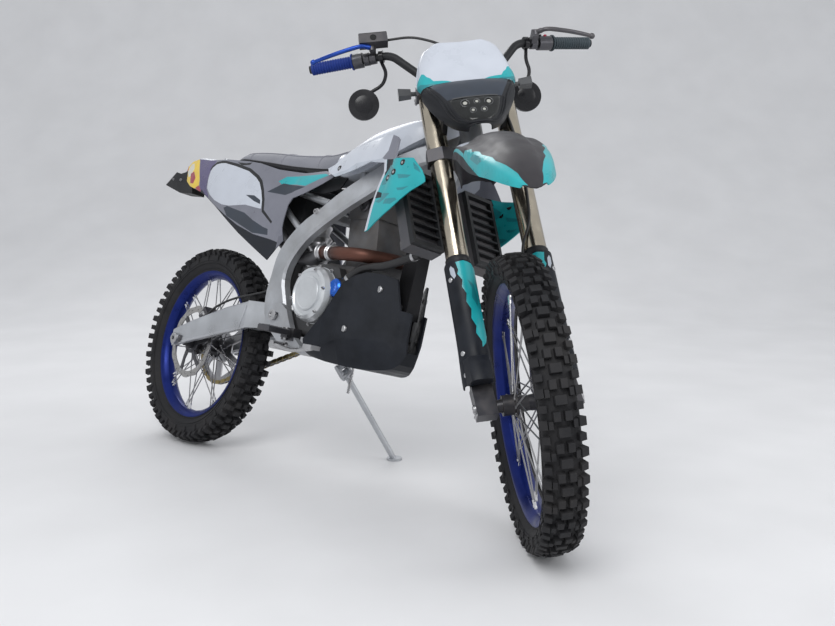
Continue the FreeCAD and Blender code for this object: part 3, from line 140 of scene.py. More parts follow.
def away_from(name, axis, at, radius):
    # a mask of the part of a CAD node further from an axis than a radius
    def mask(nt, place):
        turn = local_place(name)
        middle = (turn.to_3x3() @ Vector(axis)).normalized()
        shift = node(nt, "VectorMath", {0: place, 1: turn @ (Vector(at) * MM)}, "SUBTRACT")["Vector"]
        cross = node(nt, "VectorMath", {0: shift, 1: middle}, "CROSS_PRODUCT")["Vector"]
        length = node(nt, "VectorMath", {0: cross}, "LENGTH")["Value"]
        return node(nt, "Math", {0: length, 1: radius * MM}, "GREATER_THAN")[0]
    return mask


EARTH = (0.23, 0.19, 0.15)
SOOT = (0.05, 0.045, 0.04)
ROUGH_CHANGE = 0.12
GRAIN_DEPTH = 0.0006


def finish_material(name, color, rough, metal, coat, variation, scale, grain, bump, dust, shine,
                    dust_color=EARTH, sheen=0.0, painted=(), paint=(0.02, 0.02, 0.022)):
    # colour and roughness change over broad patches, with a fine grain, dust in places and painted parts
    mat = bpy.data.materials.new(name)
    mat.use_nodes = True
    nt = mat.node_tree
    place = node(nt, "TexCoord", {})["Object"]
    broad = node(nt, "TexNoise", {"Vector": place, "Scale": scale, "Detail": 5.0})["Fac"]
    fine = node(nt, "TexNoise", {"Vector": place, "Scale": grain, "Detail": 3.0})["Fac"]
    tone = nt.nodes.new("ShaderNodeValToRGB")
    for end, at, change in zip(tone.color_ramp.elements, (0.3, 0.7), (-variation, variation)):
        end.position = at
        end.color = (*[min(1.0, c * (1 + change)) for c in color], 1)
    shown = fill(nt, tone, {"Fac": broad})["Color"]
    if dust:
        patch = node(nt, "TexNoise", {"Vector": place, "Scale": 9.0, "Detail": 8.0, "Roughness": 0.7})["Fac"]
        amount = node(nt, "MapRange", {"Value": patch, "From Min": 0.45, "From Max": 0.75,
                                       "To Max": dust})[0]
        shown = node(nt, "MixRGB", {"Fac": amount, "Color1": shown, "Color2": (*dust_color, 1)})["Color"]
    if painted:
        part = painted[0](nt, place)
        for test in painted[1:]:
            part = node(nt, "Math", {0: part, 1: test(nt, place)}, "MULTIPLY")[0]
        shown = node(nt, "MixRGB", {"Fac": part, "Color1": shown, "Color2": (*paint, 1)})["Color"]
    wear = node(nt, "MapRange", {"Value": broad, "From Min": 0.3, "From Max": 0.7,
                                 "To Min": max(0.03, rough - ROUGH_CHANGE),
                                 "To Max": min(1.0, rough + ROUGH_CHANGE)})[0]
    press = node(nt, "Bump", {"Height": fine, "Strength": bump, "Distance": GRAIN_DEPTH})["Normal"]
    fill(nt, nt.nodes["Principled BSDF"], {"Base Color": shown, "Roughness": wear, "Metallic": metal,
                                           "Coat Weight": coat, "Sheen Weight": sheen,
                                           "Specular IOR Level": shine, "Normal": press})
    return mat


# name: colour, roughness, metal, coat, variation, scale, grain, bump, dust, shine, and the dust's colour
FINISHES = {
    "rubber": ((0.016, 0.016, 0.018), 0.68, 0, 0, 0.3, 18, 260, 0.5, 0.35, 0.25, SOOT),
    # the rims' anodised blue is darkened to the dark navy they show in shade, so this colour is partly their
    # own blue and partly painted shade over the whole rim
    "rim": ((0.004, 0.015, 0.14), 0.34, 0.6, 0, 0.3, 18, 500, 0.15, 0.25, 0.3, (0.03, 0.028, 0.03)),
    "hub": ((0.035, 0.035, 0.04), 0.42, 0.5, 0, 0.12, 18, 500, 0.15, 0.3, 0.5),
    "spoke": ((0.32, 0.32, 0.33), 0.36, 1, 0, 0.12, 18, 900, 0.15, 0.2, 0.5),
    "disc": ((0.42, 0.41, 0.4), 0.3, 1, 0, 0.12, 18, 900, 0.25, 0.12, 0.5),
    "alloy": ((0.5, 0.515, 0.54), 0.36, 0.85, 0, 0.14, 10, 700, 0.3, 0.3, 0.5, (0.24, 0.22, 0.2)),
    "frame_alloy": ((0.46, 0.475, 0.5), 0.5, 0.75, 0, 0.16, 10, 500, 0.45, 0.35, 0.5, (0.22, 0.2, 0.18)),
    "clutch": ((0.62, 0.64, 0.66), 0.38, 0.7, 0, 0.1, 18, 500, 0.15, 0.25, 0.5),
    "steel": ((0.5, 0.5, 0.51), 0.34, 1, 0, 0.12, 18, 800, 0.15, 0.15, 0.5),
    "dark_steel": ((0.09, 0.09, 0.1), 0.42, 0.8, 0, 0.12, 18, 500, 0.15, 0.25, 0.5),
    "black": ((0.014, 0.015, 0.017), 0.5, 0, 0, 0.25, 18, 900, 0.15, 0.1, 0.3, SOOT),
    "gloss_black": ((0.009, 0.009, 0.011), 0.28, 0, 0, 0.25, 18, 500, 0.05, 0, 0.35),
    "guard": ((0.01, 0.012, 0.017), 0.45, 0, 0, 0.3, 18, 700, 0.2, 0.1, 0.2, SOOT),
    "engine": ((0.13, 0.13, 0.135), 0.55, 0.55, 0, 0.25, 24, 900, 0.4, 0.55, 0.5, (0.14, 0.11, 0.08)),
    "cover": ((0.62, 0.64, 0.66), 0.38, 0.7, 0, 0.1, 18, 500, 0.15, 0.25, 0.5),
    "blue_metal": ((0.02, 0.12, 0.55), 0.3, 0.8, 0, 0.12, 18, 500, 0.15, 0.1, 0.5),
    "header": ((0.1, 0.042, 0.03), 0.45, 0.7, 0, 0.45, 12, 500, 0.15, 0.4, 0.5, (0.06, 0.045, 0.04)),
    "muffler": ((0.16, 0.16, 0.17), 0.4, 0.8, 0, 0.12, 18, 500, 0.15, 0.15, 0.5),
    "radiator": ((0.1, 0.1, 0.11), 0.6, 0.6, 0, 0.12, 18, 500, 0.15, 0.3, 0.5),
    "fork_tube": ((0.46, 0.41, 0.33), 0.2, 1, 0, 0.08, 18, 1200, 0.06, 0, 0.5),
    "chrome": ((0.62, 0.62, 0.63), 0.12, 1, 0, 0.05, 18, 500, 0.03, 0, 0.5),
    "charcoal": ((0.014, 0.015, 0.018), 0.42, 0, 0, 0.2, 18, 500, 0.05, 0.1, 0.25, (0.06, 0.055, 0.05)),
    "fender_dark": ((0.03, 0.028, 0.032), 0.45, 0, 0, 0.25, 18, 500, 0.05, 0.2, 0.25, (0.075, 0.065, 0.06)),
    "teal": ((0.012, 0.34, 0.37), 0.34, 0, 0.2, 0.12, 18, 500, 0.04, 0.12, 0.4, (0.02, 0.2, 0.22)),
    "deep_teal": ((0.008, 0.2, 0.23), 0.32, 0, 0.4, 0.12, 18, 500, 0.04, 0, 0.5),
    "white": ((0.5, 0.53, 0.59), 0.34, 0, 0.2, 0.05, 18, 500, 0.04, 0.15, 0.4, (0.4, 0.42, 0.46)),
    "grey": ((0.17, 0.175, 0.21), 0.38, 0, 0.15, 0.1, 18, 500, 0.04, 0.15, 0.35, (0.14, 0.13, 0.13)),
    "carbon": ((0.014, 0.016, 0.022), 0.42, 0, 0, 0.2, 18, 500, 0.05, 0, 0.2),
    "cream": ((0.62, 0.6, 0.5), 0.34, 0, 0.4, 0.08, 18, 500, 0.04, 0, 0.5),
    "pale_grey": ((0.4, 0.44, 0.5), 0.34, 0, 0.4, 0.12, 18, 500, 0.04, 0, 0.5),
    "slate": ((0.035, 0.043, 0.058), 0.42, 0, 0, 0.15, 18, 500, 0.04, 0, 0.3),
    "seat_side": ((0.2, 0.205, 0.235), 0.75, 0, 0, 0.12, 18, 1400, 0.6, 0.12, 0.5),
    "seat_cloth": ((0.26, 0.265, 0.3), 0.75, 0, 0, 0.1, 18, 1400, 0.6, 0.1, 0.5),
    "seat_trim": ((0.02, 0.02, 0.023), 0.7, 0, 0, 0.2, 18, 1400, 0.5, 0, 0.5),
    "purple": ((0.06, 0.045, 0.14), 0.35, 0, 0.3, 0.1, 18, 500, 0.04, 0, 0.5),
    "yellow": ((0.75, 0.52, 0.03), 0.35, 0, 0.3, 0.08, 18, 500, 0.04, 0, 0.5),
    "red": ((0.32, 0.015, 0.04), 0.35, 0, 0.3, 0.1, 18, 500, 0.04, 0, 0.5),
    "grip_blue": ((0.01, 0.032, 0.2), 0.6, 0, 0, 0.15, 18, 300, 0.5, 0, 0.25),
    "grip_grey": ((0.03, 0.045, 0.055), 0.6, 0, 0, 0.15, 18, 300, 0.5, 0, 0.5),
    "hose": ((0.015, 0.015, 0.016), 0.45, 0, 0, 0.2, 18, 900, 0.15, 0, 0.5),
    "lens": ((0.012, 0.013, 0.013), 0.14, 0, 0, 0.3, 40, 500, 0.05, 0, 0.4),
    "lamp_red": ((0.35, 0.01, 0.01), 0.15, 0, 1, 0.1, 18, 500, 0.05, 0, 0.5),
    "cap_blue": ((0.02, 0.08, 0.4), 0.3, 0.8, 0, 0.1, 18, 500, 0.05, 0, 0.5),
    "lever_blue": ((0.015, 0.06, 0.34), 0.35, 0.6, 0, 0.1, 18, 500, 0.05, 0, 0.5),
    "led": ((0.36, 0.36, 0.33), 0.25, 0, 0, 0.1, 18, 500, 0.05, 0, 0.5),
    "clear_grey": ((0.06, 0.062, 0.065), 0.18, 0, 0, 0.15, 18, 500, 0.05, 0, 0.5),
    "brass": ((0.45, 0.36, 0.16), 0.35, 1, 0, 0.12, 18, 500, 0.15, 0.25, 0.5),
}
# what else some of them have
MORE = {
    # the down tube is dark ahead of a plane and below another
    "frame_alloy": dict(painted=[beyond("frame", (1, 0, 0), (872, 0, 0)),
                                 beyond("frame", (0, 0, -1), (0, 0, 832))]),
    # the clutch cover is bright only near its middle
    "clutch": dict(painted=[away_from("clutch_cover", (0, 1, 0), (CLUTCH[0], 0, CLUTCH[1]), 81.5)],
                   paint=(0.07, 0.07, 0.072)),
    "seat_side": dict(sheen=0.15),
    "seat_cloth": dict(sheen=0.15),
}
M = {key: finish_material(key, *row, **MORE.get(key, {})) for key, row in FINISHES.items()}

CAD_FINISH = {
    "frame_alloy": "frame", "alloy": "subframe swingarm side_stand",
    "steel": "rear_axle foot_levers shock front_axle rear_sprocket",
    "dark_steel": "footpegs rear_caliper fork_clamps fork_lowers controls front_caliper",
    "engine": "engine generator_cover", "clutch": "clutch_cover", "brass": "chain",
    "header": "exhaust_header",
    "hose": "water_pump rear_brake_hose front_brake_hose", "muffler": "muffler", "radiator": "radiators",
    "black": "radiator_louvres plate_bracket airbox handlebar", "teal": "shrouds", "seat_cloth": "seat",
    "white": "tank_cover rear_fender number_plate", "grey": "side_panels", "lamp_red": "tail_lamp",
    "guard": "skid_plate fork_guards", "fork_tube": "fork_uppers", "grip_grey": "grips",
    "gloss_black": "mirrors", "charcoal": "headlight_mask front_fender", "lens": "headlight_lens",
    "clear_grey": "indicators", "rubber": "front_tyre rear_tyre", "rim": "front_rim rear_rim",
    "hub": "front_hub rear_hub", "spoke": "front_spokes rear_spokes", "disc": "front_disc rear_disc",
}
for key, names in CAD_FINISH.items():
    for name in names.split():
        for place in NODES[name].material_slots:
            place.material = M[key]


# geometry helpers, mm in the bike frame

def spline(rows, steps):
    # a smooth run through rows of numbers
    out = []
    last = len(rows) - 1
    for i in range(last):
        near = (rows[max(i - 1, 0)], rows[i], rows[i + 1], rows[min(i + 2, last)])
        for k in range(steps):
            t = k / steps
            out.append([0.5 * (2 * b + (c - a) * t + (2 * a - 5 * b + 4 * c - d) * t * t
                               + (3 * b - a - 3 * c + d) * t ** 3) for a, b, c, d in zip(*near)])
    out.append(list(rows[-1]))
    return out


def polar(r, q):
    return r * cos(q), r * sin(q)


def circle(r, n, x=0.0, y=0.0):
    return [(x + r * cos(2 * pi * k / n), y + r * sin(2 * pi * k / n)) for k in range(n)]


def drum(r, low, high):
    # profile of a plain disc
    return [(0, low), (r, low), (r, high), (0, high)]


def stud(r, low, rim, top_r, top):
    # profile of a disc with a sloping edge
    return [(0, low), (r, low), (r, rim), (top_r, top), (0, top)]


def inside(x, z, outline):
    # whether a point lies inside a closed outline
    hit = False
    for (x0, z0), (x1, z1) in zip(outline, outline[1:] + outline[:1]):
        if (z0 > z) != (z1 > z) and x < x0 + (z - z0) / (z1 - z0) * (x1 - x0):
            hit = not hit
    return hit


def along(points):
    # frames carried along a line of points
    pts = [Vector(p) for p in points]
    out = []
    side = None
    for i, p in enumerate(pts):
        ahead = (pts[min(i + 1, len(pts) - 1)] - pts[max(i - 1, 0)]).normalized()
        if side is None:
            side = ahead.orthogonal()
        side = (side - ahead * side.dot(ahead)).normalized()
        out.append((p, side, ahead.cross(side)))
    return out


def to_axis(at, axis):
    # turns local z to an axis through a point
    out = Vector(axis).normalized().to_track_quat("Z", "Y").to_matrix().to_4x4()
    out.translation = Vector(at)
    return out


class Pile:
    """Meshes gathered into one piece, each with its material."""

    def __init__(self):
        self.verts = []
        self.faces = []
        self.keys = []

    def add(self, verts, faces, key, place=None):
        start = len(self.verts)
        place = place or Matrix()
        self.verts += [place @ Vector(v) for v in verts]
        self.faces += [[start + i for i in f] for f in faces]
        self.keys += [key] * len(faces) if isinstance(key, str) else key
        return self

    def rings(self, rings, key, closed=True, caps=True, place=None):
        # skin over rings of equal length, key may depend on the place in the ring
        n = len(rings[0])
        verts = [v for ring in rings for v in ring]
        faces = []
        keys = []
        for i in range(len(rings) - 1):
            for k in range(n if closed else n - 1):
                faces.append([i * n + k, i * n + (k + 1) % n, (i + 1) * n + (k + 1) % n, (i + 1) * n + k])
                keys.append(key if isinstance(key, str) else key(i, k))
        if caps:
            low = list(range(n))[::-1]
            high = [(len(rings) - 1) * n + k for k in range(n)]
            faces += [low, high]
            keys += [keys[0], keys[-1]]
        return self.add(verts, faces, keys, place)

    def tube(self, points, r, key, sides=10):
        # round bar along a line of points, r may be one radius for each
        radii = r if isinstance(r, (list, tuple)) else [r] * len(points)
        rings = [[p + u * a + v * b for u, v in circle(radius, sides)]
                 for (p, a, b), radius in zip(along(points), radii)]
        return self.rings(rings, key)

    def lathe(self, profile, key, place=None, sides=32):
        # profile of radius and height, closed by itself, round the local z axis
        rings = [[(r * x, r * y, h) for r, h in profile] for x, y in circle(1, sides)]
        return self.rings(rings + rings[:1], key, caps=False, place=place)

    def turned(self, profile, key, at, axis, sides):
        return self.lathe(profile, key, to_axis(at, axis), sides)

    def prism(self, outline, low, high, key, place=None, taper=1.0):
        # flat outline raised from low to high, the top may be smaller
        n = len(outline)
        verts = [(x, y, low) for x, y in outline] + [(x * taper, y * taper, high) for x, y in outline]
        faces = [list(range(n))[::-1], list(range(n, 2 * n))]
        faces += [[k, (k + 1) % n, n + (k + 1) % n, n + k] for k in range(n)]
        return self.add(verts, faces, key, place)

    def bolt(self, at, axis, r, key="steel", head=5.0):
        # hexagon head with a washer under it and a recess in it
        place = to_axis(at, axis)
        self.lathe([(0, -1), (r * 1.3, -1), (r * 1.3, 0.8), (0, 0.8)], key, place, 14)
        self.prism(circle(r, 6), 0.8, head, key, place, 0.94)
        socket = [(0, head), (r * 0.5, head), (r * 0.5, head + 0.4), (0, head + 0.4)]
        return self.lathe(socket, "dark_steel", place, 10)

    def mirrored(self):
        # the same again on the other side of the bike
        n = len(self.verts)
        self.verts += [Vector((v.x, -v.y, v.z)) for v in self.verts]
        self.faces += [[n + i for i in f][::-1] for f in self.faces]
        self.keys += self.keys
        return self

    def done(self, name, ride, slot, crease=34, bevel=0.0, wall=0.0, nodes=()):
        # the piece itself: crease is the angle of a sharp edge, wall thickens a sheet
        body, matrix = RIDES[ride]
        mesh = bpy.data.meshes.new(name)
        mesh.from_pydata([v * MM for v in self.verts], [], self.faces)
        used = sorted(set(self.keys))
        for key in used:
            mesh.materials.append(M[key])
        for face, key in zip(mesh.polygons, self.keys):
            face.material_index = used.index(key)
        tidy(mesh, crease)
        obj = put(name, mesh)
        if wall:
            shell = obj.modifiers.new("wall", "SOLIDIFY")
            shell.thickness = wall * MM
            shell.offset = -1.0
        if bevel:
            edge = obj.modifiers.new("edge", "BEVEL")
            edge.width = bevel * MM
            edge.segments = 2
            edge.limit_method = "ANGLE"
            edge.angle_limit = radians(40)
            edge.harden_normals = True
        if obj.modifiers:
            final = bpy.data.meshes.new_from_object(obj.evaluated_get(bpy.context.evaluated_depsgraph_get()))
            obj.modifiers.clear()
            obj.data = final
        # the mesh lies in the row frame, like a CAD node
        obj.data.transform(matrix)
        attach(obj, body)
        if nodes:
            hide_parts(*nodes)
        return obj


WELD = 0.01 * MM


def tidy(mesh, crease):
    # joins the pieces' common points, turns the faces outwards and marks sharp edges
    work = bmesh.new()
    work.from_mesh(mesh)
    bmesh.ops.remove_doubles(work, verts=work.verts, dist=WELD)
    bmesh.ops.dissolve_degenerate(work, edges=work.edges, dist=WELD / 2)
    bmesh.ops.recalc_face_normals(work, faces=work.faces)
    for face in work.faces:
        face.smooth = True
    for edge in work.edges:
        edge.smooth = edge.is_manifold and edge.calc_face_angle(3.0) < radians(crease)
    work.to_mesh(mesh)
    work.free()


def panel(pile, outline, patches, shape, key, grid=14.0, holes=()):
    # a sheet over a flat outline with patches of other materials, shape gives the place in space
    rounds = [outline] + [patch for patch, _ in patches] + list(holes)
    points = []
    edges = []
    for ring in rounds:
        start = len(points)
        fine = []
        for (x0, z0), (x1, z1) in zip(ring, ring[1:] + ring[:1]):
            count = max(1, int(hypot(x1 - x0, z1 - z0) / grid))
            fine += [(x0 + (x1 - x0) * k / count, z0 + (z1 - z0) * k / count) for k in range(count)]
        points += fine
        edges += [(start + k, start + (k + 1) % len(fine)) for k in range(len(fine))]
    xs = [p[0] for p in outline]
    zs = [p[1] for p in outline]
    row = 0
    z = min(zs) + grid * 0.5
    while z < max(zs):
        x = min(xs) + grid * (0.5 if row % 2 else 0.0)
        while x < max(xs):
            if inside(x, z, outline) and min(hypot(x - a, z - b) for a, b in points) > grid * 0.6:
                points.append((x, z))
            x += grid
        z += grid * 0.87
        row += 1
    flat = delaunay_2d_cdt([Vector(p) for p in points], edges, [], 0, 0.01)
    verts = [shape(v.x, v.y) for v in flat[0]]
    faces = []
    keys = []
    for face in flat[2]:
        x = sum(flat[0][i].x for i in face) / len(face)
        z = sum(flat[0][i].y for i in face) / len(face)
        if not inside(x, z, outline) or any(inside(x, z, ring) for ring in holes):
            continue
        shown = key
        for patch, other in patches:
            if inside(x, z, patch):
                shown = other
        faces.append(list(face))
        keys.append(shown)
    return pile.add(verts, faces, keys)


def between(rows, x):
    # a row of a table at x, straight between its rows
    if x <= rows[0][0]:
        return rows[0]
    for a, b in zip(rows, rows[1:]):
        if x <= b[0]:
            t = (x - a[0]) / (b[0] - a[0])
            return [p + (q - p) * t for p, q in zip(a, b)]
    return rows[-1]


def curved_depth(rows, bulge):
    # y over a panel table: x, bottom z, top z, y at the bottom, y at the top
    def depth(x, z):
        _, z0, z1, yb, yt = between(rows, x)
        t = min(1.15, max(-0.15, (z - z0) / max(20.0, z1 - z0)))
        return yb + (yt - yb) * t + bulge * 4 * t * (1 - t)
    return depth


def upright(depth):
    # place on a side panel from x, z and its depth
    return lambda x, z: (x, depth(x, z), z)


def both_sides(patches):
    # patches again on the other side of the middle line, u changes its sign
    return patches + [([(-u, v) for u, v in patch], key) for patch, key in patches]


# wheels, about their own axle: local z of a lathe is turned to the axle's y

AXLE_TURN = Matrix.Rotation(radians(-90), 4, "X")
WHEEL_SIDES = 120


def knob(low, high, length):
    # a block with a smaller top: low and high are rings of y and radius, length runs along the tread
    rings = []
    for ring, run in ((low, length * 1.12), (high, length)):
        rings.append([(r, y, s * run / 2) for s in (-1, 1) for y, r in (ring if s < 0 else ring[::-1])])
    return rings


def tyre(t):
    # carcass with ribs on its walls, and rows of knobs: two, then one between two, with shoulder knobs
    top, half = t["r"], t["half"]
    crown, bead = top - t["lug"], top - t["wall"]
    low = crown - 4
    step = 180.0 / t["pitches"]
    pile = Pile()
    outer = [(bead - 1, 0.62), (bead + 3, 0.66), (bead + 6, 0.63), (bead + 14, 0.86), (bead + 24, 0.97),
             (bead + 34, 1.0), (crown - 16, 0.97), (crown - 9, 0.86), (crown - 2, 0.6), (crown, 0.3)]
    ring = [(r, half * y) for r, y in outer] + [(crown + 0.5, 0)] + [(r, -half * y) for r, y in outer[::-1]]
    ring += [(bead - 1, -half * 0.62 + 8), (crown - 10, -half * 0.6), (crown - 10, half * 0.6),
             (bead - 1, half * 0.62 - 8)]
    pile.lathe(ring, "rubber", AXLE_TURN, WHEEL_SIDES)
    for share in (0.36, 0.5):
        rib = bead + share * (crown - bead)
        for s in (1, -1):
            pile.lathe([(rib - 1.2, s * half * 0.98), (rib, s * (half + 1.6)), (rib + 1.2, s * half * 0.98)],
                       "rubber", AXLE_TURN, WHEEL_SIDES)

    def block(low_ring, high_ring, length, turn):
        # rings of share of the half width and radius
        spread = [[(y * half, r) for y, r in ring] for ring in (low_ring, high_ring)]
        place = Matrix.Rotation(radians(turn * step), 4, "Y")
        pile.rings(knob(*spread, length), "rubber", place=place)

    for i in range(2 * t["pitches"]):
        if i % 2:
            for s in (1, -1):
                block([(s * 0.08, low), (s * 0.5, low)], [(s * 0.11, top), (s * 0.46, top - 1)], 19,
                      i + 0.27)
        else:
            block([(-0.34, low), (0.34, low)], [(-0.29, top), (0.29, top)], 19, i + 0.27)
            for s in (1, -1):
                block([(s * 0.48, low - 1), (s * 0.76, low - 3)],
                      [(s * 0.5, top - 3), (s * 0.74, top - 6)], 16, i - 0.2)
        wide, long = (1.19, 18) if i % 2 else (1.13, 15)
        for s in (1, -1):
            block([(s * 0.68, low - 2), (s * 0.93, crown - 18)],
                  [(s * (wide - 0.39), top - 4), (s * wide, crown + 1)], long, i + 0.75)
            if i % 2:
                block([(s * 0.9, crown - 20), (s * 0.97, crown - 34)],
                      [(s * 1.08, crown - 14), (s * 1.05, crown - 32)], 11, i + 0.75)
    pile.done(t["name"] + "_tyre_tread", t["name"], t["name"] + "_tyre", bevel=0.8,
              nodes=[t["name"] + "_tyre"])


def rim(t):
    # flanges, bead seats and a drop centre
    flange, half = t["r"] - t["wall"] - 0.3, t["rim"]
    side = [(0, half), (0.6, half - 2), (-0.6, half - 4), (-4, half - 5), (-11, half - 7), (-16, 9)]
    deep = [(-3, half), (-11, half - 2.5), (-17, half - 10), (-23, 11), (-24, 8)]
    ring = side + [(r, -y) for r, y in side[::-1]] + [(r, -y) for r, y in deep] + deep[::-1]
    pile = Pile().lathe([(flange + r, y) for r, y in ring], "rim", AXLE_TURN, WHEEL_SIDES)
    pile.done(t["name"] + "_rim_ring", t["name"], t["name"] + "_rim", crease=40, nodes=[t["name"] + "_rim"])


def wheel_spokes(t):
    # crossed spokes from the hub's flanges to nipples in the rim
    seat = t["r"] - t["wall"] - 24.4
    flange_r, flange_y, thick = t["flange"]
    face = thick / 2 + 2.4
    pile = Pile()
    for side in (1, -1):
        for i in range(18):
            a = radians(i * 20.0 + (5 if side > 0 else 15))
            b = a + radians(52 if i % 2 else -52) * 0.55
            y0 = side * (flange_y + (face if i % 2 else -face))
            x, z = polar(flange_r - 4, a)
            p = Vector((x, y0, z))
            x, z = polar(seat, b)
            q = Vector((x, side * 5.0, z))
            run = (q - p).normalized()
            pile.tube([p, q - run * 16], 1.9, "spoke", 8)
            pile.tube([q - run * 20, q - run * 8, q - run * 7, q + run * 1.5], [2.9, 2.9, 3.6, 3.6],
                      "chrome", 8)
            pile.turned(drum(4, -2, 1.4), "spoke", p, (0, 1 if y0 > 0 else -1, 0), 10)
    pile.done(t["name"] + "_spoke_set", t["name"], t["name"] + "_spokes", nodes=[t["name"] + "_spokes"])


def brake_disc(t):
    # waved ring with drilled holes and six arms
    outer, middle, thick = t["disc"]
    inner, half, hub_r = outer - 22, thick / 2, 25.0
    pile = Pile()

    def both_faces(outline, holes, key):
        for y in (half, -half):
            panel(pile, outline, [], upright(lambda x, z: middle + y), key, 9.0, holes)
        for ring in [outline] + holes:
            pile.rings([[(x, middle + s * half, z) for x, z in ring] for s in (-1, 1)], key, caps=False)

    turns = [2 * pi * k / 144 for k in range(144)]
    holes = [circle(inner, 72)]
    for i in range(36):
        holes.append(circle(2.6, 8, *polar(outer - 7 - 7 * (i % 2), 2 * pi * i / 36)))
    both_faces([polar(outer - 1.8 + 1.8 * cos(12 * q), q) for q in turns], holes, "disc")
    arm = [(hub_r + 6, -9), (inner * 0.6, -2), (inner + 3, 14), (inner + 3, 30), (inner * 0.62, 12),
           (hub_r + 6, 9)]
    rivet = (inner + 3, 22)
    for i in range(6):
        c, s = polar(1, radians(60 * i))
        *outline, (x, z) = [(x * c - z * s, x * s + z * c) for x, z in arm + [rivet]]
        both_faces(outline, [], "dark_steel")
        pile.turned(drum(6, -4.4, 0.8), "steel", (x, middle + half, z), (0, 1, 0), 14)
    ring = [(hub_r, -half), (hub_r + 14, -half), (hub_r + 14, half), (hub_r, half)]
    pile.lathe([(r, y + middle) for r, y in ring], "dark_steel", AXLE_TURN, 48)
    pile.done(t["name"] + "_disc_ring", t["name"], t["name"] + "_disc", nodes=[t["name"] + "_disc"])


# bodywork

PANEL = [(-256, 926, 950, 68, 66), (-228, 886, 962, 80, 72), (-165, 862, 966, 94, 83),
         (-100, 845, 958, 104, 90), (-18, 822, 951, 116, 98), (75, 782, 944, 126, 104),
         (170, 740, 932, 132, 108), (259, 692, 916, 134, 110), (350, 652, 902, 134, 108),
         (440, 612, 886, 132, 102), (474, 646, 885, 130, 100), (480, 806, 885, 114, 100),
         (540, 822, 887, 112, 102), (616, 850, 889, 114, 108), (668, 866, 877, 118, 116)]
PANEL_EDGE = [(-256, 946), (-248, 954), (-226, 961), (-165, 965), (-100, 957), (-57, 953), (70, 948),
              (194, 936), (266, 926), (375, 902), (509, 888), (616, 889), (668, 877), (668, 866),
              (532, 821), (484, 808), (472, 786), (474, 732), (480, 677), (474, 648), (442, 612),
              (350, 652), (259, 692), (75, 782), (-18, 822), (-76, 840), (-129, 853), (-182, 866),
              (-228, 888), (-252, 920)]
NUMBER_FIELD = [(-32, 911), (-26, 922), (-8, 934), (20, 937), (48, 936), (126, 921), (216, 900),
                (271, 876), (297, 859), (320, 832), (340, 800), (348, 772), (330, 774), (258, 785),
                (166, 782), (117, 787), (60, 803), (16, 823), (-16, 847), (-28, 880)]
PANEL_PATCHES = [
    ([(-256, 946), (-248, 954), (-226, 961), (-165, 965), (-156, 958), (-127, 921), (-99, 884),
      (-92, 859), (-114, 856), (-129, 853), (-182, 866), (-228, 888), (-252, 920)], "yellow"),
    ([(-224, 950), (-200, 952), (-176, 930), (-188, 904), (-212, 900), (-236, 922)], "cream"),
    ([(-196, 912), (-168, 918), (-140, 892), (-150, 872), (-182, 876)], "red"),
    ([(-165, 965), (-100, 957), (-57, 953), (-20, 951), (-26, 932), (-34, 897), (-22, 847), (14, 812),
      (-18, 822), (-64, 836), (-81, 855), (-96, 884), (-124, 921), (-147, 954)], "purple"),
    ([(-118, 857), (-96, 862), (-81, 855), (-64, 836), (-76, 840), (-114, 850)], "red"),
    ([(-60, 846), (-32, 830), (59, 790), (145, 755), (242, 718), (343, 690), (435, 676), (474, 668),
      (474, 648), (442, 612), (350, 652), (259, 692), (75, 782), (-18, 822), (-70, 838)], "carbon"),
    ([(-40, 916), (-34, 930), (-12, 943), (20, 946), (50, 944), (130, 930), (222, 909), (280, 884),
      (308, 866), (332, 836), (352, 802), (364, 768), (420, 732), (418, 725), (356, 762), (340, 800),
      (320, 832), (297, 859), (271, 876), (216, 900), (126, 921), (48, 936), (20, 937), (-8, 934),
      (-26, 922), (-32, 911)], "black"),
    (NUMBER_FIELD, "white"),
    ([(246, 818), (292, 816), (331, 800), (336, 787), (299, 797)], "slate"),
    ([(135, 775), (155, 781), (268, 758), (321, 735), (383, 714), (409, 708), (416, 689), (336, 694),
      (221, 731), (168, 747)], "slate"),
    ([(127, 935), (183, 929), (216, 931), (208, 923), (162, 922)], "black"),
    ([(389, 863), (421, 878), (523, 879), (624, 879), (648, 872), (604, 864), (534, 845), (472, 852),
      (409, 853)], "teal"),
    ([(352, 828), (416, 856), (535, 842), (442, 818)], "slate"),
]
SHROUD = [(664, 880, 888, 138, 130), (704, 862, 924, 140, 122), (800, 872, 953, 154, 132),
          (893, 884, 962, 176, 150), (950, 700, 964, 198, 172), (995, 714, 947, 208, 178),
          (1028, 734, 892, 212, 206), (1077, 770, 880, 214, 208), (1100, 788, 872, 213, 208),
          (1146, 816, 830, 206, 205)]
SHROUD_EDGE = [(664, 886), (704, 922), (760, 942), (815, 955), (893, 962), (939, 962), (975, 952),
               (1000, 938), (1028, 880), (1094, 878), (1130, 848), (1148, 828), (1150, 816), (1110, 792),
               (1047, 746), (999, 715), (966, 693), (952, 690), (953, 759), (962, 812), (972, 850),
               (960, 878), (893, 886), (841, 878), (760, 866), (704, 860), (668, 876)]
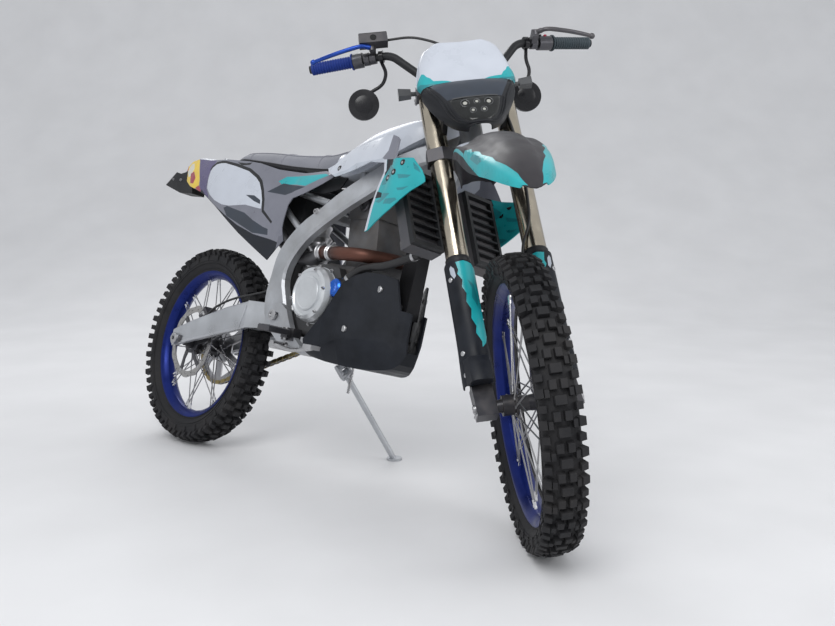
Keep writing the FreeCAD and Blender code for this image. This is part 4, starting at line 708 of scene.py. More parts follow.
SHROUD_PATCHES = [
    ([(664, 886), (704, 922), (760, 942), (815, 955), (893, 962), (939, 962), (962, 957), (962, 911),
      (942, 892), (892, 890), (803, 892), (765, 877), (713, 871), (690, 866), (668, 876)], "white"),
    ([(668, 876), (690, 866), (713, 871), (765, 877), (803, 892), (892, 890), (942, 892), (958, 886),
      (960, 878), (893, 886), (841, 878), (760, 866), (704, 860)], "pale_grey"),
    ([(962, 957), (975, 952), (1000, 938), (1028, 880), (958, 886), (942, 892), (962, 911)], "grey"),
    ([(952, 690), (953, 759), (962, 812), (972, 850), (960, 878), (958, 886), (968, 886), (982, 852),
      (972, 812), (964, 759), (964, 694)], "white"),
    ([(969, 886), (1002, 883), (1010, 866), (992, 856), (982, 838), (978, 848), (982, 853)], "carbon"),
    ([(967, 797), (992, 792), (996, 779), (965, 778)], "carbon"),
    ([(996, 868), (1034, 850), (1028, 834), (1000, 815), (982, 812), (978, 822), (988, 838)], "deep_teal"),
    ([(1051, 836), (1081, 834), (1104, 832), (1093, 825), (1060, 824)], "deep_teal"),
    ([(1059, 800), (1083, 801), (1104, 804), (1085, 794), (1066, 793)], "deep_teal"),
    ([(998, 790), (1038, 787), (1016, 773), (992, 764), (968, 770), (997, 777)], "deep_teal"),
    ([(1022, 773), (1061, 775), (1070, 770), (1047, 759), (1014, 760)], "deep_teal"),
    ([(1098, 866), (1118, 854), (1132, 838), (1108, 848)], "deep_teal"),
]


def side_panels():
    # panels of both sides with their coloured patches
    pile = panel(Pile(), PANEL_EDGE, PANEL_PATCHES, upright(curved_depth(PANEL, 5)), "grey", 15.0).mirrored()
    pile.done("side_panel_shells", "bike", "side_panels", wall=3.0, bevel=0.8, nodes=["side_panels"])


def shrouds():
    # shrouds of both sides with their patches and screws
    depth = curved_depth(SHROUD, 3)
    pile = panel(Pile(), SHROUD_EDGE, SHROUD_PATCHES, upright(depth), "teal", 15.0).mirrored()
    pile.done("shroud_shells", "bike", "shrouds", wall=3.0, bevel=0.8, nodes=["shrouds"])
    pegs = Pile()
    for at in ((1034, 842), (1006, 830), (716, 884), (1060, 866)):
        y = depth(*at) - 1
        pegs.turned(stud(9, -2, 0.6, 7, 2.2), "gloss_black", (at[0], y, at[1]), (0, 1, 0), 20)
        pegs.turned(drum(4, 2.0, 2.9), "steel", (at[0], y, at[1]), (0, 1, 0), 6)
    pegs.mirrored()
    pegs.done("shroud_screws", "bike", "shrouds")


def dome_section(x, z0, z1, half, shoulder, count, flat=0.72):
    # crowned cross section from one lower edge over the top to the other
    ring = []
    for k in range(count + 1):
        q = pi * k / count
        y = half * copysign(abs(cos(q)) ** flat, cos(q))
        ring.append((x, y, z0 + shoulder * (z1 - z0) + (1 - shoulder) * (z1 - z0) * sin(q) ** 0.8))
    return [(x, half * 0.97, z0)] + ring + [(x, -half * 0.97, z0)]


def tank():
    # white cover with a grey top, and the fuel cap
    rows = [(636, 884, 962, 90), (660, 880, 962, 96), (700, 872, 984, 104), (780, 880, 1018, 112),
            (860, 912, 1034, 110), (930, 952, 1044, 96), (984, 994, 1048, 62)]
    rings = [dome_section(*row, 0.35, 16) for row in spline(rows, 5)]
    pile = Pile().rings(rings, lambda i, k: "grey" if 5 <= k <= 12 else "white", closed=True)
    pile.done("tank_cover_shell", "bike", "tank_cover", nodes=["tank_cover"], crease=50)
    cap = Pile()
    place = to_axis((850, 0, 1028), (-0.16, 0, 1))
    cap.lathe([(0, -4), (40, -4), (40, 2), (34, 5), (30, 5), (30, 3), (24, 3), (24, 11), (20, 14), (0, 14)],
              "gloss_black", place, 40)
    for k in range(12):
        q = radians(30 * k)
        cap.tube([place @ Vector((24.5 * cos(q), 24.5 * sin(q), h)) for h in (3.5, 11)], 1.6, "black", 6)
    cap.done("fuel_cap", "bike", "tank_cover")


SEAT = [(100, 944, 962, 84), (160, 936, 976, 98), (300, 915, 972, 104), (430, 899, 962, 92),
        (560, 890, 962, 76), (639, 889, 976, 72)]


def seat():
    # cushion with cloth top and sides, piping and seams across
    rows = [(x, z0, z1, half) for x, z0, z1, half in spline(SEAT, 8)]
    rings = [dome_section(x, z0, z1 + 2, half, 0.2, 20, 0.6) for x, z0, z1, half in rows]

    def cover(i, k):
        if k in (0, 21):
            return "seat_trim"
        return "seat_side" if k < 6 or k > 15 else "seat_cloth"

    pile = Pile().rings(rings, cover, closed=True)
    cushion = pile.done("seat_cushion", "bike", "seat", nodes=["seat"], crease=80)
    seams = Pile()
    for k, key in ((1, "seat_trim"), (6, "seat_side"), (16, "seat_side"), (21, "seat_trim")):
        seams.tube([Vector(ring[k]) + Vector((0, 0, 0.6)) for ring in rings[1:-1]], 1.9, key, 8)
    for i in (10, 20, 30):
        seams.tube([Vector(p) + Vector((0, 0, 0.3)) for p in rings[i][1:22]], 1.4, "seat_side", 6)
    seams.done("seat_piping", "bike", "seat")


REAR_FENDER = [(-285, 962, 944, 38), (-256, 976, 954, 59), (-180, 980, 962, 75), (-60, 968, 948, 85),
               (100, 950, 936, 84)]


def rear_fender():
    # arched sheet with a raised middle, purple at its end
    rings = []
    for x, zc, ze, half in spline(REAR_FENDER, 6):
        ring = []
        for k in range(21):
            a = pi * (k / 20 - 0.5)
            ridge = 2.2 if 7 < k < 13 else 0.0
            ring.append((x, half * sin(a), ze - ridge + (zc - ze) * cos(a) ** 0.6))
        rings.append(ring)
    pile = Pile().rings(rings, lambda i, k: "purple" if i < 5 else "white", closed=False, caps=False)
    pile.done("rear_fender_shell", "bike", "rear_fender", wall=3.0, bevel=0.8, nodes=["rear_fender"])


def tail_lamp():
    # ribs on the lens, a black rim round its foot, screws on the fin behind it
    pile = Pile()
    for k in range(9):
        y = 5.6 * (k - 4)
        pile.tube([(-344.4, y, 944), (-339.6, y, 960)], 1.3, "lamp_red", 6)
    foot = [(-307, 25.6), (-345, 25.6), (-345, -25.6), (-307, -25.6), (-307, 25.6)]
    pile.tube([(x, y, 950 + (x + 286) * 14 / 97) for x, y in foot], 1.8, "black", 6)
    for x, z in ((-372, 912), (-430, 916)):
        for s in (1, -1):
            pile.bolt((x, s * 26, z), (0, s, 0), 4.0)
    pile.done("tail_lamp_ribs", "bike", "tail_lamp")


# the front fender: x, crown z, edge z, half width
FENDER = spline([(1075, 885.6, 867.6, 44), (1150, 904.6, 885.6, 58), (1250, 949.6, 911.6, 84),
                 (1370, 969.6, 917.6, 94), (1530, 947.6, 871.6, 91), (1660, 898.0, 843.6, 71),
                 (1739, 851.0, 821.0, 46), (1785, 809.0, 806.0, 14)], 8)
# its cross section from the middle out: share of the half width, share of the height
FENDER_SECTION = [(0, 0, 1.0), (0.12, 0.12, 1.0), (0.3, 0.31, 0.95), (0.42, 0.44, 0.88),
                  (0.5, 0.52, 0.76), (0.56, 0.58, 0.72), (0.8, 0.84, 0.64), (0.88, 0.93, 0.55),
                  (0.94, 0.975, 0.34), (1.0, 1.0, 0.0)]
FENDER_PATCHES = both_sides([
    ([(94, 1486), (88, 1492), (80, 1525), (84, 1545), (75, 1575), (79, 1600), (68, 1640), (71, 1665),
      (60, 1700), (52, 1740), (66, 1776), (100, 1768), (100, 1610), (97, 1560)], "teal"),
    ([(92, 1545), (86, 1560), (84, 1598), (89, 1622), (94, 1600)], "deep_teal"),
    ([(94, 1262), (91, 1280), (90, 1420), (91, 1484), (94, 1486), (94, 1420)], "teal"),
    ([(84, 1330), (64, 1350), (60, 1400), (70, 1440), (84, 1436), (88, 1380)], "pale_grey"),
    ([(80, 1345), (68, 1366), (68, 1396), (82, 1382)], "slate"),
])


def fender_place(v, x):
    # place on the fender: v across from -100 to 100, x along the bike
    _, zc, ze, half = between(FENDER, x)
    _, out, up = between(FENDER_SECTION, min(1.0, abs(v) / 100))
    return (x, copysign(half * out, v), ze + (zc - ze) * up)


def front_fender():
    # long sheet with teal and pale patches
    ends = [(100, 1075 + 34.5 * k) for k in range(21)] + [(84, 1775), (60, 1781), (30, 1784)]
    outline = ends + [(0, 1785)] + [(-v, x) for v, x in ends[::-1]]
    pile = Pile()
    panel(pile, outline, FENDER_PATCHES, fender_place, "fender_dark", 9.0)
    pile.done("front_fender_shell", "steered", "front_fender", wall=3.0, bevel=0.6,
              nodes=["front_fender"])


# steering parts in the fork frame: w ahead of the steering axis, y left, s up along it

BAR_Z = FORK_TOP + 54.0
BAR_END = Vector((-66.0, 403.0, FORK_TOP + 173.0))
BAR_BEND = Vector((-8.0, 178.0, FORK_TOP + 152.0))


def fender_pad():
    # block between fork and fender, and the fender's screws
    pad = Pile()
    pad.prism([(2, -26), (42, -26), (42, 26), (2, 26)], 1000, 1030, "charcoal")
    pad.done("front_fender_pad", "fork", "front_fender", bevel=2.0)
    bolts = Pile()
    for x, v in ((1180, 52), (1180, -52), (1262, 50), (1262, -50)):
        bolts.turned(stud(8, -2, 2.5, 6, 4), "steel", fender_place(v, x), (-0.3, 0, 1), 16)
    bolts.done("front_fender_screws", "steered", "front_fender")


# rows of the number plate: rise over the fork top, half width, depth ahead of the steering axis
PLATE = spline([(-44, 122, 100), (-34, 131, 99), (4, 128, 94), (48, 118, 88), (82, 107, 84), (96, 98, 83),
                (104, 80, 82)], 6)
PLATE_EDGE = [(-100, -44), (100, -44), (100, 90), (96, 101), (84, 104), (52, 104), (24, 98), (0, 95),
              (-24, 98), (-52, 104), (-84, 104), (-96, 101), (-100, 90)]
PLATE_PATCHES = both_sides([
    ([(20, -44), (28, -36), (36, -33), (48, -30), (53, -18), (60, -10), (66, 2), (73, 6), (80, -4),
      (88, -10), (100, -12), (100, -44)], "teal"),
    ([(40, -44), (50, -38), (64, -36), (78, -28), (92, -26), (100, -28), (100, -44)], "deep_teal"),
])


def plate_place(u, rise):
    # place on the plate: u across from -100 to 100, rise over the fork top
    _, half, w = between(PLATE, rise)
    q = u / 100
    return (w + 6 * (1 - abs(q)) - 34 * abs(q) ** 3.5, half * sin(q * pi / 2), FORK_TOP + rise)


def number_plate():
    # blank white plate with teal lower corners
    pile = Pile()
    panel(pile, PLATE_EDGE, PLATE_PATCHES, plate_place, "white", 12.0)
    pile.done("number_plate_shell", "fork", "number_plate", wall=3.0, bevel=0.8, nodes=["number_plate"])
    edge = Pile()
    run = []
    for (u0, r0), (u1, r1) in zip(PLATE_EDGE[1:], PLATE_EDGE[2:] + PLATE_EDGE[:1]):
        run += [plate_place(u0 + (u1 - u0) * k / 6, r0 + (r1 - r0) * k / 6) for k in range(6)]
    edge.tube([Vector(p) + Vector((-2, 0, 0)) for p in run], 2.2, "white", 8)
    low = [plate_place(u, -43.5) for u in range(-100, 101, 10)]
    edge.tube([Vector(p) + Vector((-2, 0, 0)) for p in low], 2.4, "black", 8)
    strap = [(86, -30, FORK_TOP + 74), (60, -44, FORK_TOP + 76), (18, -52, FORK_TOP + 62)]
    for s in (1, -1):
        edge.tube([(w, s * y, z) for w, y, z in strap], [5, 5, 5], "black", 8)
    edge.done("number_plate_rim", "fork", "number_plate")


# rows of the mask: rise from the fork top, half width, front and rear depth
MASK = spline([(-216, 30, 156, 128), (-188, 62, 150, 104), (-142, 90, 142, 84), (-98, 112, 132, 72),
               (-64, 124, 118, 66), (-44, 122, 102, 66)], 8)
LENS = [(-66, -126), (66, -126), (58, -156), (44, -188), (24, -206), (-24, -206), (-44, -188), (-58, -156)]


def mask_place(u, rise):
    # place on the mask, like plate_place
    _, half, front, rear = between(MASK, rise)
    q = u / 100
    return (front + 7 * cos(q * pi / 2) - (front - rear) * abs(q) ** 3.0,
            half * sin(q * pi / 2), FORK_TOP + rise)


def on_mask(points):
    # points seen from the front, y and rise, as places on the sheet of the mask
    return [(copysign(asin(min(1.0, abs(y) / between(MASK, rise)[1])) * 200 / pi, y), rise)
            for y, rise in points]


def headlight():
    # the mask with a dark upper panel and raised edges, and the lamps behind a clear front
    brow = on_mask([(-104, -46), (104, -46), (98, -62), (84, -92), (70, -122), (-70, -122), (-84, -92),
                    (-98, -62)])
    pile = Pile()
    edge = [(-100, -44), (100, -44), (100, -216), (-100, -216)]
    panel(pile, edge, [(brow, "slate"), (on_mask(LENS), "black")], mask_place, "charcoal", 10.0)
    for y in (77, -77):
        pile.rings([[(w, y + a, FORK_TOP + b) for a, b in ((-7, -156), (7, -156), (7, -130), (-7, -130))]
                    for w in (30, 96)], "charcoal")
    pile.done("headlight_mask_shell", "fork", "headlight_mask", wall=3.0, bevel=0.6,
              nodes=["headlight_mask"])
    ribs = Pile()
    for line, r in (([(110, -52), (98, -90), (84, -122), (72, -158), (56, -186), (34, -206), (0, -210)],
                     2.6), ([(76, -124), (66, -158), (50, -190), (28, -205), (0, -206)], 1.8)):
        half_line = on_mask(line)
        full = half_line + [(-u, v) for u, v in half_line[-2::-1]]
        ribs.tube([Vector(mask_place(*p)) + Vector((1, 0, 0)) for p in spline(full, 4)], r, "charcoal", 8)
    ribs.tube([Vector(mask_place(u, -123.5)) + Vector((1, 0, 0)) for u in range(-40, 41, 8)], 2.0,
              "clear_grey", 8)
    ribs.done("headlight_mask_ribs", "fork", "headlight_mask")
    lamp = Pile()
    glass = []
    for share, out in ((1.0, 0.4), (0.96, 3.0), (0.86, 4.2), (0.6, 5.0), (0.2, 5.6)):
        ring = []
        for k in range(8):
            (y0, r0), (y1, r1) = LENS[k], LENS[(k + 1) % 8]
            for t in (0, 0.34, 0.67):
                y = (y0 + (y1 - y0) * t) * share
                rise = -164 + (r0 + (r1 - r0) * t + 164) * share
                w, _, s = mask_place(on_mask([(y, rise)])[0][0], rise)
                ring.append((w + out, y, s))
        glass.append(ring)
    lamp.rings(glass, "lens", caps=False)
    lamp.add(glass[-1], [list(range(24))], "lens")
    # raised reflectors under the glass show as bright rings
    for y, rise, r in ((-30, -148, 12), (0, -146, 9), (30, -148, 12), (-14, -174, 9), (14, -174, 9)):
        w, _, s = mask_place(on_mask([(y, rise)])[0][0], rise)
        place = to_axis((w + 3.4, y, s), (1, 0, 0.05))
        lamp.lathe([(r, 0), (r, 2.6), (r - 1.2, 3.0), (r - 2.4, 2.4), (r - 2.8, 0.6)], "clear_grey",
                   place, 24)
        lamp.lathe([(0.01, 0.8), (r * 0.5, 0.8), (r * 0.42, 2.6), (0.01, 3.2)], "led", place, 20)
    lamp.done("headlight_lamps", "fork", "headlight_lens", nodes=["headlight_lens"], crease=50)


GUARD_LOW = AXLE_S + 62
GUARD_LONG = 739.0 - GUARD_LOW
GUARD_WIDE = 120.0
GUARD_EDGE = [(0, 8), (4, 0), (116, 0), (120, 8), (120, 292), (116, 306), (104, 315), (84, 318.5),
              (36, 318.5), (16, 315), (4, 306), (0, 292)]
GUARD_PATCHES = [
    ([(56, 312), (52, 290), (56, 280), (46, 262), (50, 244), (42, 226), (46, 204), (37, 184), (41, 160),
      (32, 140), (36, 122), (24, 100), (26, 86), (12, 98), (2, 116), (2, 296), (14, 308), (36, 314)],
     "teal"),
    ([(70, 306), (62, 296), (60, 276), (66, 270), (74, 284), (75, 300)], "pale_grey"),
    ([(34, 262), (26, 240), (30, 214), (16, 190), (12, 216), (18, 250)], "deep_teal"),
]


def guard_place(u, v):
    # place on a fork guard: u round the tube, v up from its foot
    a = radians(-68 + 186 * u / GUARD_WIDE)
    t = v / GUARD_LONG
    r = 37 + 3.0 * exp(-((t - 0.05) / 0.2) ** 2)
    return (FORK_W + r * cos(a), FORK_HALF + r * sin(a), GUARD_LOW + v)


def fork_guards():
    # guards with patches, their feet and screws
    pile = Pile()
    panel(pile, GUARD_EDGE, GUARD_PATCHES, guard_place, "guard", 9.0)
    pile.mirrored()
    pile.done("fork_guard_shells", "fork", "fork_guards", wall=3.5, bevel=0.8, nodes=["fork_guards"])
    feet = Pile()
    toe = [(FORK_W + 28, FORK_HALF - 30), (FORK_W + 58, FORK_HALF - 26), (FORK_W + 64, FORK_HALF - 14),
           (FORK_W + 66, FORK_HALF + 12), (FORK_W + 60, FORK_HALF + 24), (FORK_W + 27, FORK_HALF + 34)]
    feet.rings([[(w, y, GUARD_LOW - 4) for w, y in toe], [(w - 1, y, GUARD_LOW + 40) for w, y in toe],
                [(w - 12 * (w > FORK_W + 40), y, GUARD_LOW + 60) for w, y in toe]], "guard")
    for u, v in ((76, 24), (76, 78), (76, 270)):
        w, y, s = guard_place(u, v)
        feet.turned(stud(6.5, -3, 2.5, 5, 3.4), "steel", (w, y, s), (w - FORK_W, y - FORK_HALF, 0), 16)
    feet.mirrored()
    feet.done("fork_guard_feet", "fork", "fork_guards", bevel=1.2)


def fork_details():
    # bright inner tubes between the guards and the uppers, wiper rings, pinch bolts of the axle
    pile = Pile()
    for s in (1, -1):
        place = to_axis((FORK_W, s * FORK_HALF, 0), (0, 0, 1))
        pile.lathe([(24.0, AXLE_S + 90), (24.4, AXLE_S + 91), (24.4, 741), (24.0, 742)], "chrome", place, 40)
        pile.lathe([(24.0, 740), (30.4, 740), (31.4, 743), (31.4, 752), (29.0, 756), (24.0, 756)],
                   "black", place, 40)
        for k in (-9, 9):
            pile.bolt((FORK_W + AXLE_LEAD + k, s * (FORK_HALF + 23.6), AXLE_S - 17), (0, s, 0), 3.8)
    pile.done("fork_details", "fork", "fork_lowers")


def bar_point(y, off=(0, 0, 0)):
    # point of the bar's outer run at y, moved by off
    share = (y - BAR_BEND.y) / (BAR_END.y - BAR_BEND.y)
    return BAR_BEND.lerp(BAR_END, share) + Vector(off)


def grips():
    # ribbed grips with a flange inside and a bar end outside
    run = (BAR_END - BAR_BEND).normalized()
    start = bar_point(285)
    length = 116.0
    profile = [(11.2, -4), (22.5, -4), (23, -2), (22.5, 0), (16.8, 1)]
    for h in [5 + k * 7.4 for k in range(14)]:
        profile += [(15.2, h), (17.0, h + 1.4), (17.0, h + 4.4), (15.2, h + 5.8)]
    profile += [(16.8, length - 8), (17, length - 1), (11.2, length)]
    plug = [(11.0, length - 1), (14, length - 1), (13, length + 1.2), (8.2, length + 1.2),
            (8.2, length - 30), (11.0, length - 30)]
    for side, key, name, nodes in ((-1, "grip_blue", "right_grip", ["grips"]),
                                   (1, "grip_grey", "left_grip", [])):
        place = to_axis((start.x, side * start.y, start.z), (run.x, side * run.y, run.z))
        pile = Pile().lathe(profile, key, place, 28).lathe(plug, "dark_steel", place, 24)
        pile.done(name, "fork", "grips", nodes=nodes)


def cockpit():
    # bar mounts, fork caps and stem nut, pump lid and sight glass, buttons, lever pivots and levers
    pile = Pile()
    for y in (50, -50):
        cap = [(20 * cos(radians(a)), BAR_Z + 2 + 20 * sin(radians(a))) for a in range(0, 181, 20)]
        outline = [(-20, BAR_Z + 2)] + [(w, s) for w, s in cap[::-1]]
        rings = [[(w, y + d, s) for w, s in outline[1:]] for d in (-13.8, 13.8)]
        pile.rings(rings, "dark_steel")
        for w in (-13, 13):
            pile.bolt((w, y, BAR_Z + 15), (0, 0, 1), 4.0, "steel", 5.0)
    for y in (FORK_HALF, -FORK_HALF):
        place = to_axis((FORK_W, y, FORK_TOP), (0, 0, 1))
        pile.lathe(stud(27, 0, 3, 24, 5), "cap_blue", place, 32)
        pile.lathe(stud(7, 5, 16, 5, 17), "brass", place, 20)
        for s in (FORK_TOP - 22, FORK_TOP - 12):
            pile.bolt((FORK_W - 24, y * 1.34, s), (-1, 0.1 if y > 0 else -0.1, 0), 3.6)
    pile.bolt((0, 0, FORK_TOP - 4), (0, 0, 1), 15.0, "steel", 9.0)
    pile.done("bar_mounts", "fork", "fork_clamps", bevel=0.6)
    hand = Pile()
    lid = [(13, -261), (41, -261), (41, -185), (13, -185)]
    hand.prism(lid, FORK_TOP + 191, FORK_TOP + 195, "gloss_black")
    for w in (18, 36):
        for y in (-255, -191):
            hand.turned(drum(3.2, 0, 2), "steel", (w, y, FORK_TOP + 195), (0, 0, 1), 12)
    hand.turned([(0, -1), (9, -1), (9, 1.5), (7, 1.5), (7, 0.8), (0, 0.8)], "lens",
                (42, -223, FORK_TOP + 177), (1, 0, 0), 24)
    for y, key in ((263, "red"), (247, "black")):
        at = bar_point(y, (12, 0, 10))
        hand.turned(stud(5, 0, 7, 3.8, 8.4), key, at, (0.7, 0, 0.7), 16)
    for side in (1, -1):
        at = Vector((19, side * 229, FORK_TOP + 158))
        hand.turned(drum(8, -7, 7), "dark_steel", at, (0.2, 0, 1), 20)
        hand.bolt(at + Vector((0, 0, 6)), (0.2, 0, 1), 3.4)
    hand.done("hand_controls_trim", "fork", "controls", bevel=0.6)
    levers = Pile()
    for side, key in ((-1, "lever_blue"), (1, "dark_steel")):
        route = [(16, 228, 162), (27, 243, 159), (35, 258, 156), (33, 285, 153), (27, 318, 149),
                 (14, 352, 148.6), (-5, 390, 150)]
        points = [(w, side * y, FORK_TOP + s) for w, y, s in route]
        levers.tube([tuple(p) for p in spline(points, 4)], [7.4] * 5 + [6.0] * 8 + [5.6] * 12, key, 12)
        ball = to_axis((-6, side * 392, FORK_TOP + 150), (0, 1, 0))
        levers.lathe([(0.01, -8.6), (4.4, -7.4), (7.6, -4), (8.7, 0), (7.6, 4), (4.4, 7.4), (0.01, 8.6)],
                     key, ball, 20)
    levers.done("hand_levers", "fork", "controls")


def mirrors():
    # round shells with glass, ball joints and clips
    pile = Pile()
    for side, y, rise in ((1, 178.0, -6.0), (-1, 269.0, 18.0)):
        axis = Vector((cos(CASTER), 0, -sin(CASTER)))
        place = to_axis(Vector((-40, side * y, FORK_TOP + rise)), axis)
        pile.lathe([(0.01, 8.5), (14, 8), (28, 5.5), (38, 1.5), (42, -4), (41.5, -6.5), (38.5, -6.5),
                    (38.5, -5), (0.01, -5)], "gloss_black", place, 48)
        pile.lathe([(0.01, -5.2), (38, -5.2), (38, -5.8), (0.01, -5.8)], "chrome", place, 48)
        pile.turned(drum(9, -6, 9), "black", (-34, side * y, FORK_TOP + rise + 20), (0, 1, 0), 20)
        clip = bar_point(203.5)
        pile.bolt((clip.x - 18, side * clip.y, clip.z - 6), (-1, 0, 0), 4.0)
    pile.done("mirror_shells", "fork", "mirrors")


PISTON = [(0, -2), (13, -2), (13, 3), (11, 4.5), (6, 4.5), (5, 3), (0, 3)]


def calipers():
    # piston caps: the caliper's radius and angle round the axle, its outer face, the axle's place
    for name, ride, key, r, angle, y, x0, z0 in (
            ("front_caliper", "fork", "dark_steel", 124, -48, 74.2, FORK_W + AXLE_LEAD, AXLE_S),
            ("rear_caliper", "bike", "steel", 112, 44, -80.2, 0.0, REAR["r"])):
        turn = radians(angle)
        x, z = x0 + r * sin(turn), z0 + r * cos(turn)
        pile = Pile()
        for k in (-17, 15):
            at = (x + k * cos(turn), y, z - k * sin(turn))
            pile.turned(PISTON, key, at, (0, 1 if y > 0 else -1, 0), 28)
        pile.done(name + "_trim", ride, name)


# drive side, engine and chassis details

CHAIN_PITCH = 15.875
CHAIN_Y = 66.0
ENGINE_SPROCKET = (612.0, 462.0)
TEETH = (48, 13)


def chain():
    # plates and rollers one pitch apart round both sprockets
    big, small = [CHAIN_PITCH / 2 / sin(pi / teeth) for teeth in TEETH]
    rear, front = Vector((0, REAR["r"])), Vector(ENGINE_SPROCKET)
    apart = front - rear
    slope, spread = atan2(apart.y, apart.x), asin((big - small) / apart.length)
    top = slope + pi / 2 - spread
    low = slope - pi / 2 + spread
    line = [front + Vector(polar(small, low + (top - low) * i / 24)) for i in range(25)]
    line += [rear + Vector(polar(big, top + (2 * pi - (top - low)) * i / 96)) for i in range(97)]
    line.append(line[0])
    total = sum((b - a).length for a, b in zip(line, line[1:]))
    count = round(total / CHAIN_PITCH / 2) * 2
    stops = []
    at, left = 0, 0.0
    for i in range(count + 1):
        goal = i * total / count
        while at < len(line) - 2 and left + (line[at + 1] - line[at]).length < goal:
            left += (line[at + 1] - line[at]).length
            at += 1
        run = line[at + 1] - line[at]
        stops.append(line[at] + run * min(1.0, (goal - left) / run.length))
    pile = Pile()
    for i in range(count):
        a, b = stops[i], stops[(i + 1) % count]
        run = (b - a).normalized()
        normal = Vector((-run.y, run.x))
        ends = []
        for centre, start in ((a, 90), (b, -90)):
            for k in range(5):
                u, v = polar(6.4, radians(start + 45 * k))
                ends.append(centre + u * run + v * normal)
        wide = 7.6 if i % 2 else 5.4
        for side in (1, -1):
            low_y = CHAIN_Y + side * wide - 0.9
            pile.rings([[(p.x, y, p.y) for p in ends] for y in (low_y, low_y + 1.8)],
                       "brass" if i % 2 else "steel")
        for half, r, key, sides in ((8.5, 2.5, "steel", 8), (4.5, 4.6, "dark_steel", 10)):
            pile.tube([(a.x, CHAIN_Y - half, a.y), (a.x, CHAIN_Y + half, a.y)], r, key, sides)
    pile.done("roller_chain", "bike", "chain", nodes=["chain"])


def header_clamps():
    # clamp rings and collars on the pipes
    pile = Pile()
    for at, axis, r in (((660, -96.6, 649.6), (1, 0.02, 0.03), 22.5),
                        ((724, -110, 647), (1, -0.2, -0.02), 21.5)):
        place = to_axis(at, axis)
        pile.lathe([(r - 4, -9), (r, -9), (r + 2.4, -7), (r, -5), (r, 5), (r + 2.4, 7), (r, 9),
                    (r - 4, 9)], "steel", place, 36)
        pile.bolt(place @ Vector((0, r + 4, 0)), (0, -1, 0.1), 4.2)
    pile.done("pipe_clamps", "bike", "exhaust_header")


def engine_details():
    # bolts and caps of the engine, blue pump cover, coolant hose
    def bolt_circle(pile, middle, r, y, turns, size):
        # bolts on the right side round a middle in x and z
        for q in turns:
            x, z = polar(r, radians(q))
            pile.bolt((middle[0] + x, y, middle[1] + z), (0, -1, 0), size)

    pile = Pile()
    bolt_circle(pile, CLUTCH, 87 * 0.97, -112, range(20, 341, 40), 4.4)
    bolt_circle(pile, CLUTCH, 69, -149.5, range(15, 316, 60), 3.6)
    pile.turned([(40, -1), (43, 0.8), (46, 0.8), (47.5, -1)], "cover", (CLUTCH[0], -151, CLUTCH[1]),
                (0, -1, 0), 60)
    pile.done("clutch_cover_bolts", "bike", "clutch_cover")
    case = Pile()
    for x, z in ((590, 585), (618, 600), (880, 596), (896, 505), (882, 440), (842, 414), (610, 418)):
        case.bolt((x, -88, z), (0, -1, 0), 4.6)
        case.bolt((x if x > 660 else 680, 84, z), (0, 1, 0), 4.6)
    for s in (1, -1):
        case.turned([(0, -2), (21, -2), (21, 3), (18, 6), (8, 6), (8, 3), (0, 3)], "dark_steel",
                    (770, s * 66, 800), (0, s, 0), 30)
    case.turned([(0, 0), (10, 0), (10, 30), (7, 34), (7, 46), (0, 46)], "white", (764, 0, 842),
                (0.1, 0, 1), 18)
    case.done("engine_bolts", "bike", "engine", bevel=0.5)
    pump = Pile()
    bolt_circle(pump, PUMP, 27.5, -113, (30, 150, 270), 3.2)
    pump.turned([(30.0, 6), (31.0, 8), (31.0, 22), (27.0, 27), (25.0, 40), (20.0, 44.4), (12.0, 44.6),
                 (11.0, 44.0), (0.01, 44.0)], "blue_metal", (PUMP[0], -88, PUMP[1]), (0, -1, 0), 40)
    pump.done("water_pump_bolts", "bike", "water_pump")
    hose = Pile()
    route = spline([(795, -106, 566), (822, -103, 590), (850, -101.6, 608.5), (895, -97.5, 617),
                    (940, -94, 623), (1000, -93.2, 639), (1060, -92.3, 657.5)], 5)
    hose.tube([tuple(p) for p in route], 11.2, "hose", 14)
    for at, axis in ((route[3], (0.8, 0, 0.7)), (route[-3], (0.95, 0, 0.3))):
        hose.turned([(11, -4.5), (12.6, -4.5), (12.6, 4.5), (11, 4.5)], "steel", at, axis, 24)
    hose.done("coolant_hose", "bike", "water_pump")


def chassis_details():
    # bolts, pivot caps and weld beads of the frame, axle ends of the swingarm
    pile = Pile()
    for s in (1, -1):
        for x, z in ((606, 372), (646, 760)):
            y = 119 if z < 500 else 134.5
            pile.bolt((x, s * y, z), (0, s, 0), 8.0, "steel", 7.0)
        pile.turned([(0, -4), (17, -4), (17, 3), (13, 5), (8, 5), (8, 2), (0, 2)], "steel",
                    (530, s * 132, 452), (0, s, 0), 30)
        pile.bolt((882, s * 28, 508), (0, s, 0), 6.0, "steel", 6.0)
        # weld beads where the beams meet the head
        beads = []
        for k in range(15):
            t = k / 14
            beads.append((1006 + 34 * t, s * (43.5 - 2 * t), 984 - 54 * t))
        pile.tube(beads, [2.6 + 0.7 * (k % 2) for k in range(15)], "alloy", 8)
    pile.done("frame_bolts", "bike", "frame", bevel=0.4)
    arm = Pile()
    for s in (1, -1):
        y = s * 118
        arm.rings([[(x, y + s * d, z) for x, z in ((-26, 318), (26, 322), (30, 344), (-24, 346))]
                   for d in (0, 4)], "dark_steel")
        arm.turned([(8, 0), (19, 0), (19, 10), (17, 13), (8, 13)], "steel", (0, s * 121, 331), (0, s, 0), 6)
        arm.tube([(-34, s * 104, 336), (-52, s * 104, 334)], 4, "steel", 10)
        arm.bolt((-44, s * 104, 334.6), (-1, 0, 0), 6.0)
        arm.tube([(344, y + s * 0.4, 398), (356, y + s * 0.6, 430), (366, y + s * 0.6, 470)],
                 [2.6, 3.0, 2.6], "alloy", 8)
    arm.done("swingarm_trim", "bike", "swingarm", bevel=0.6)


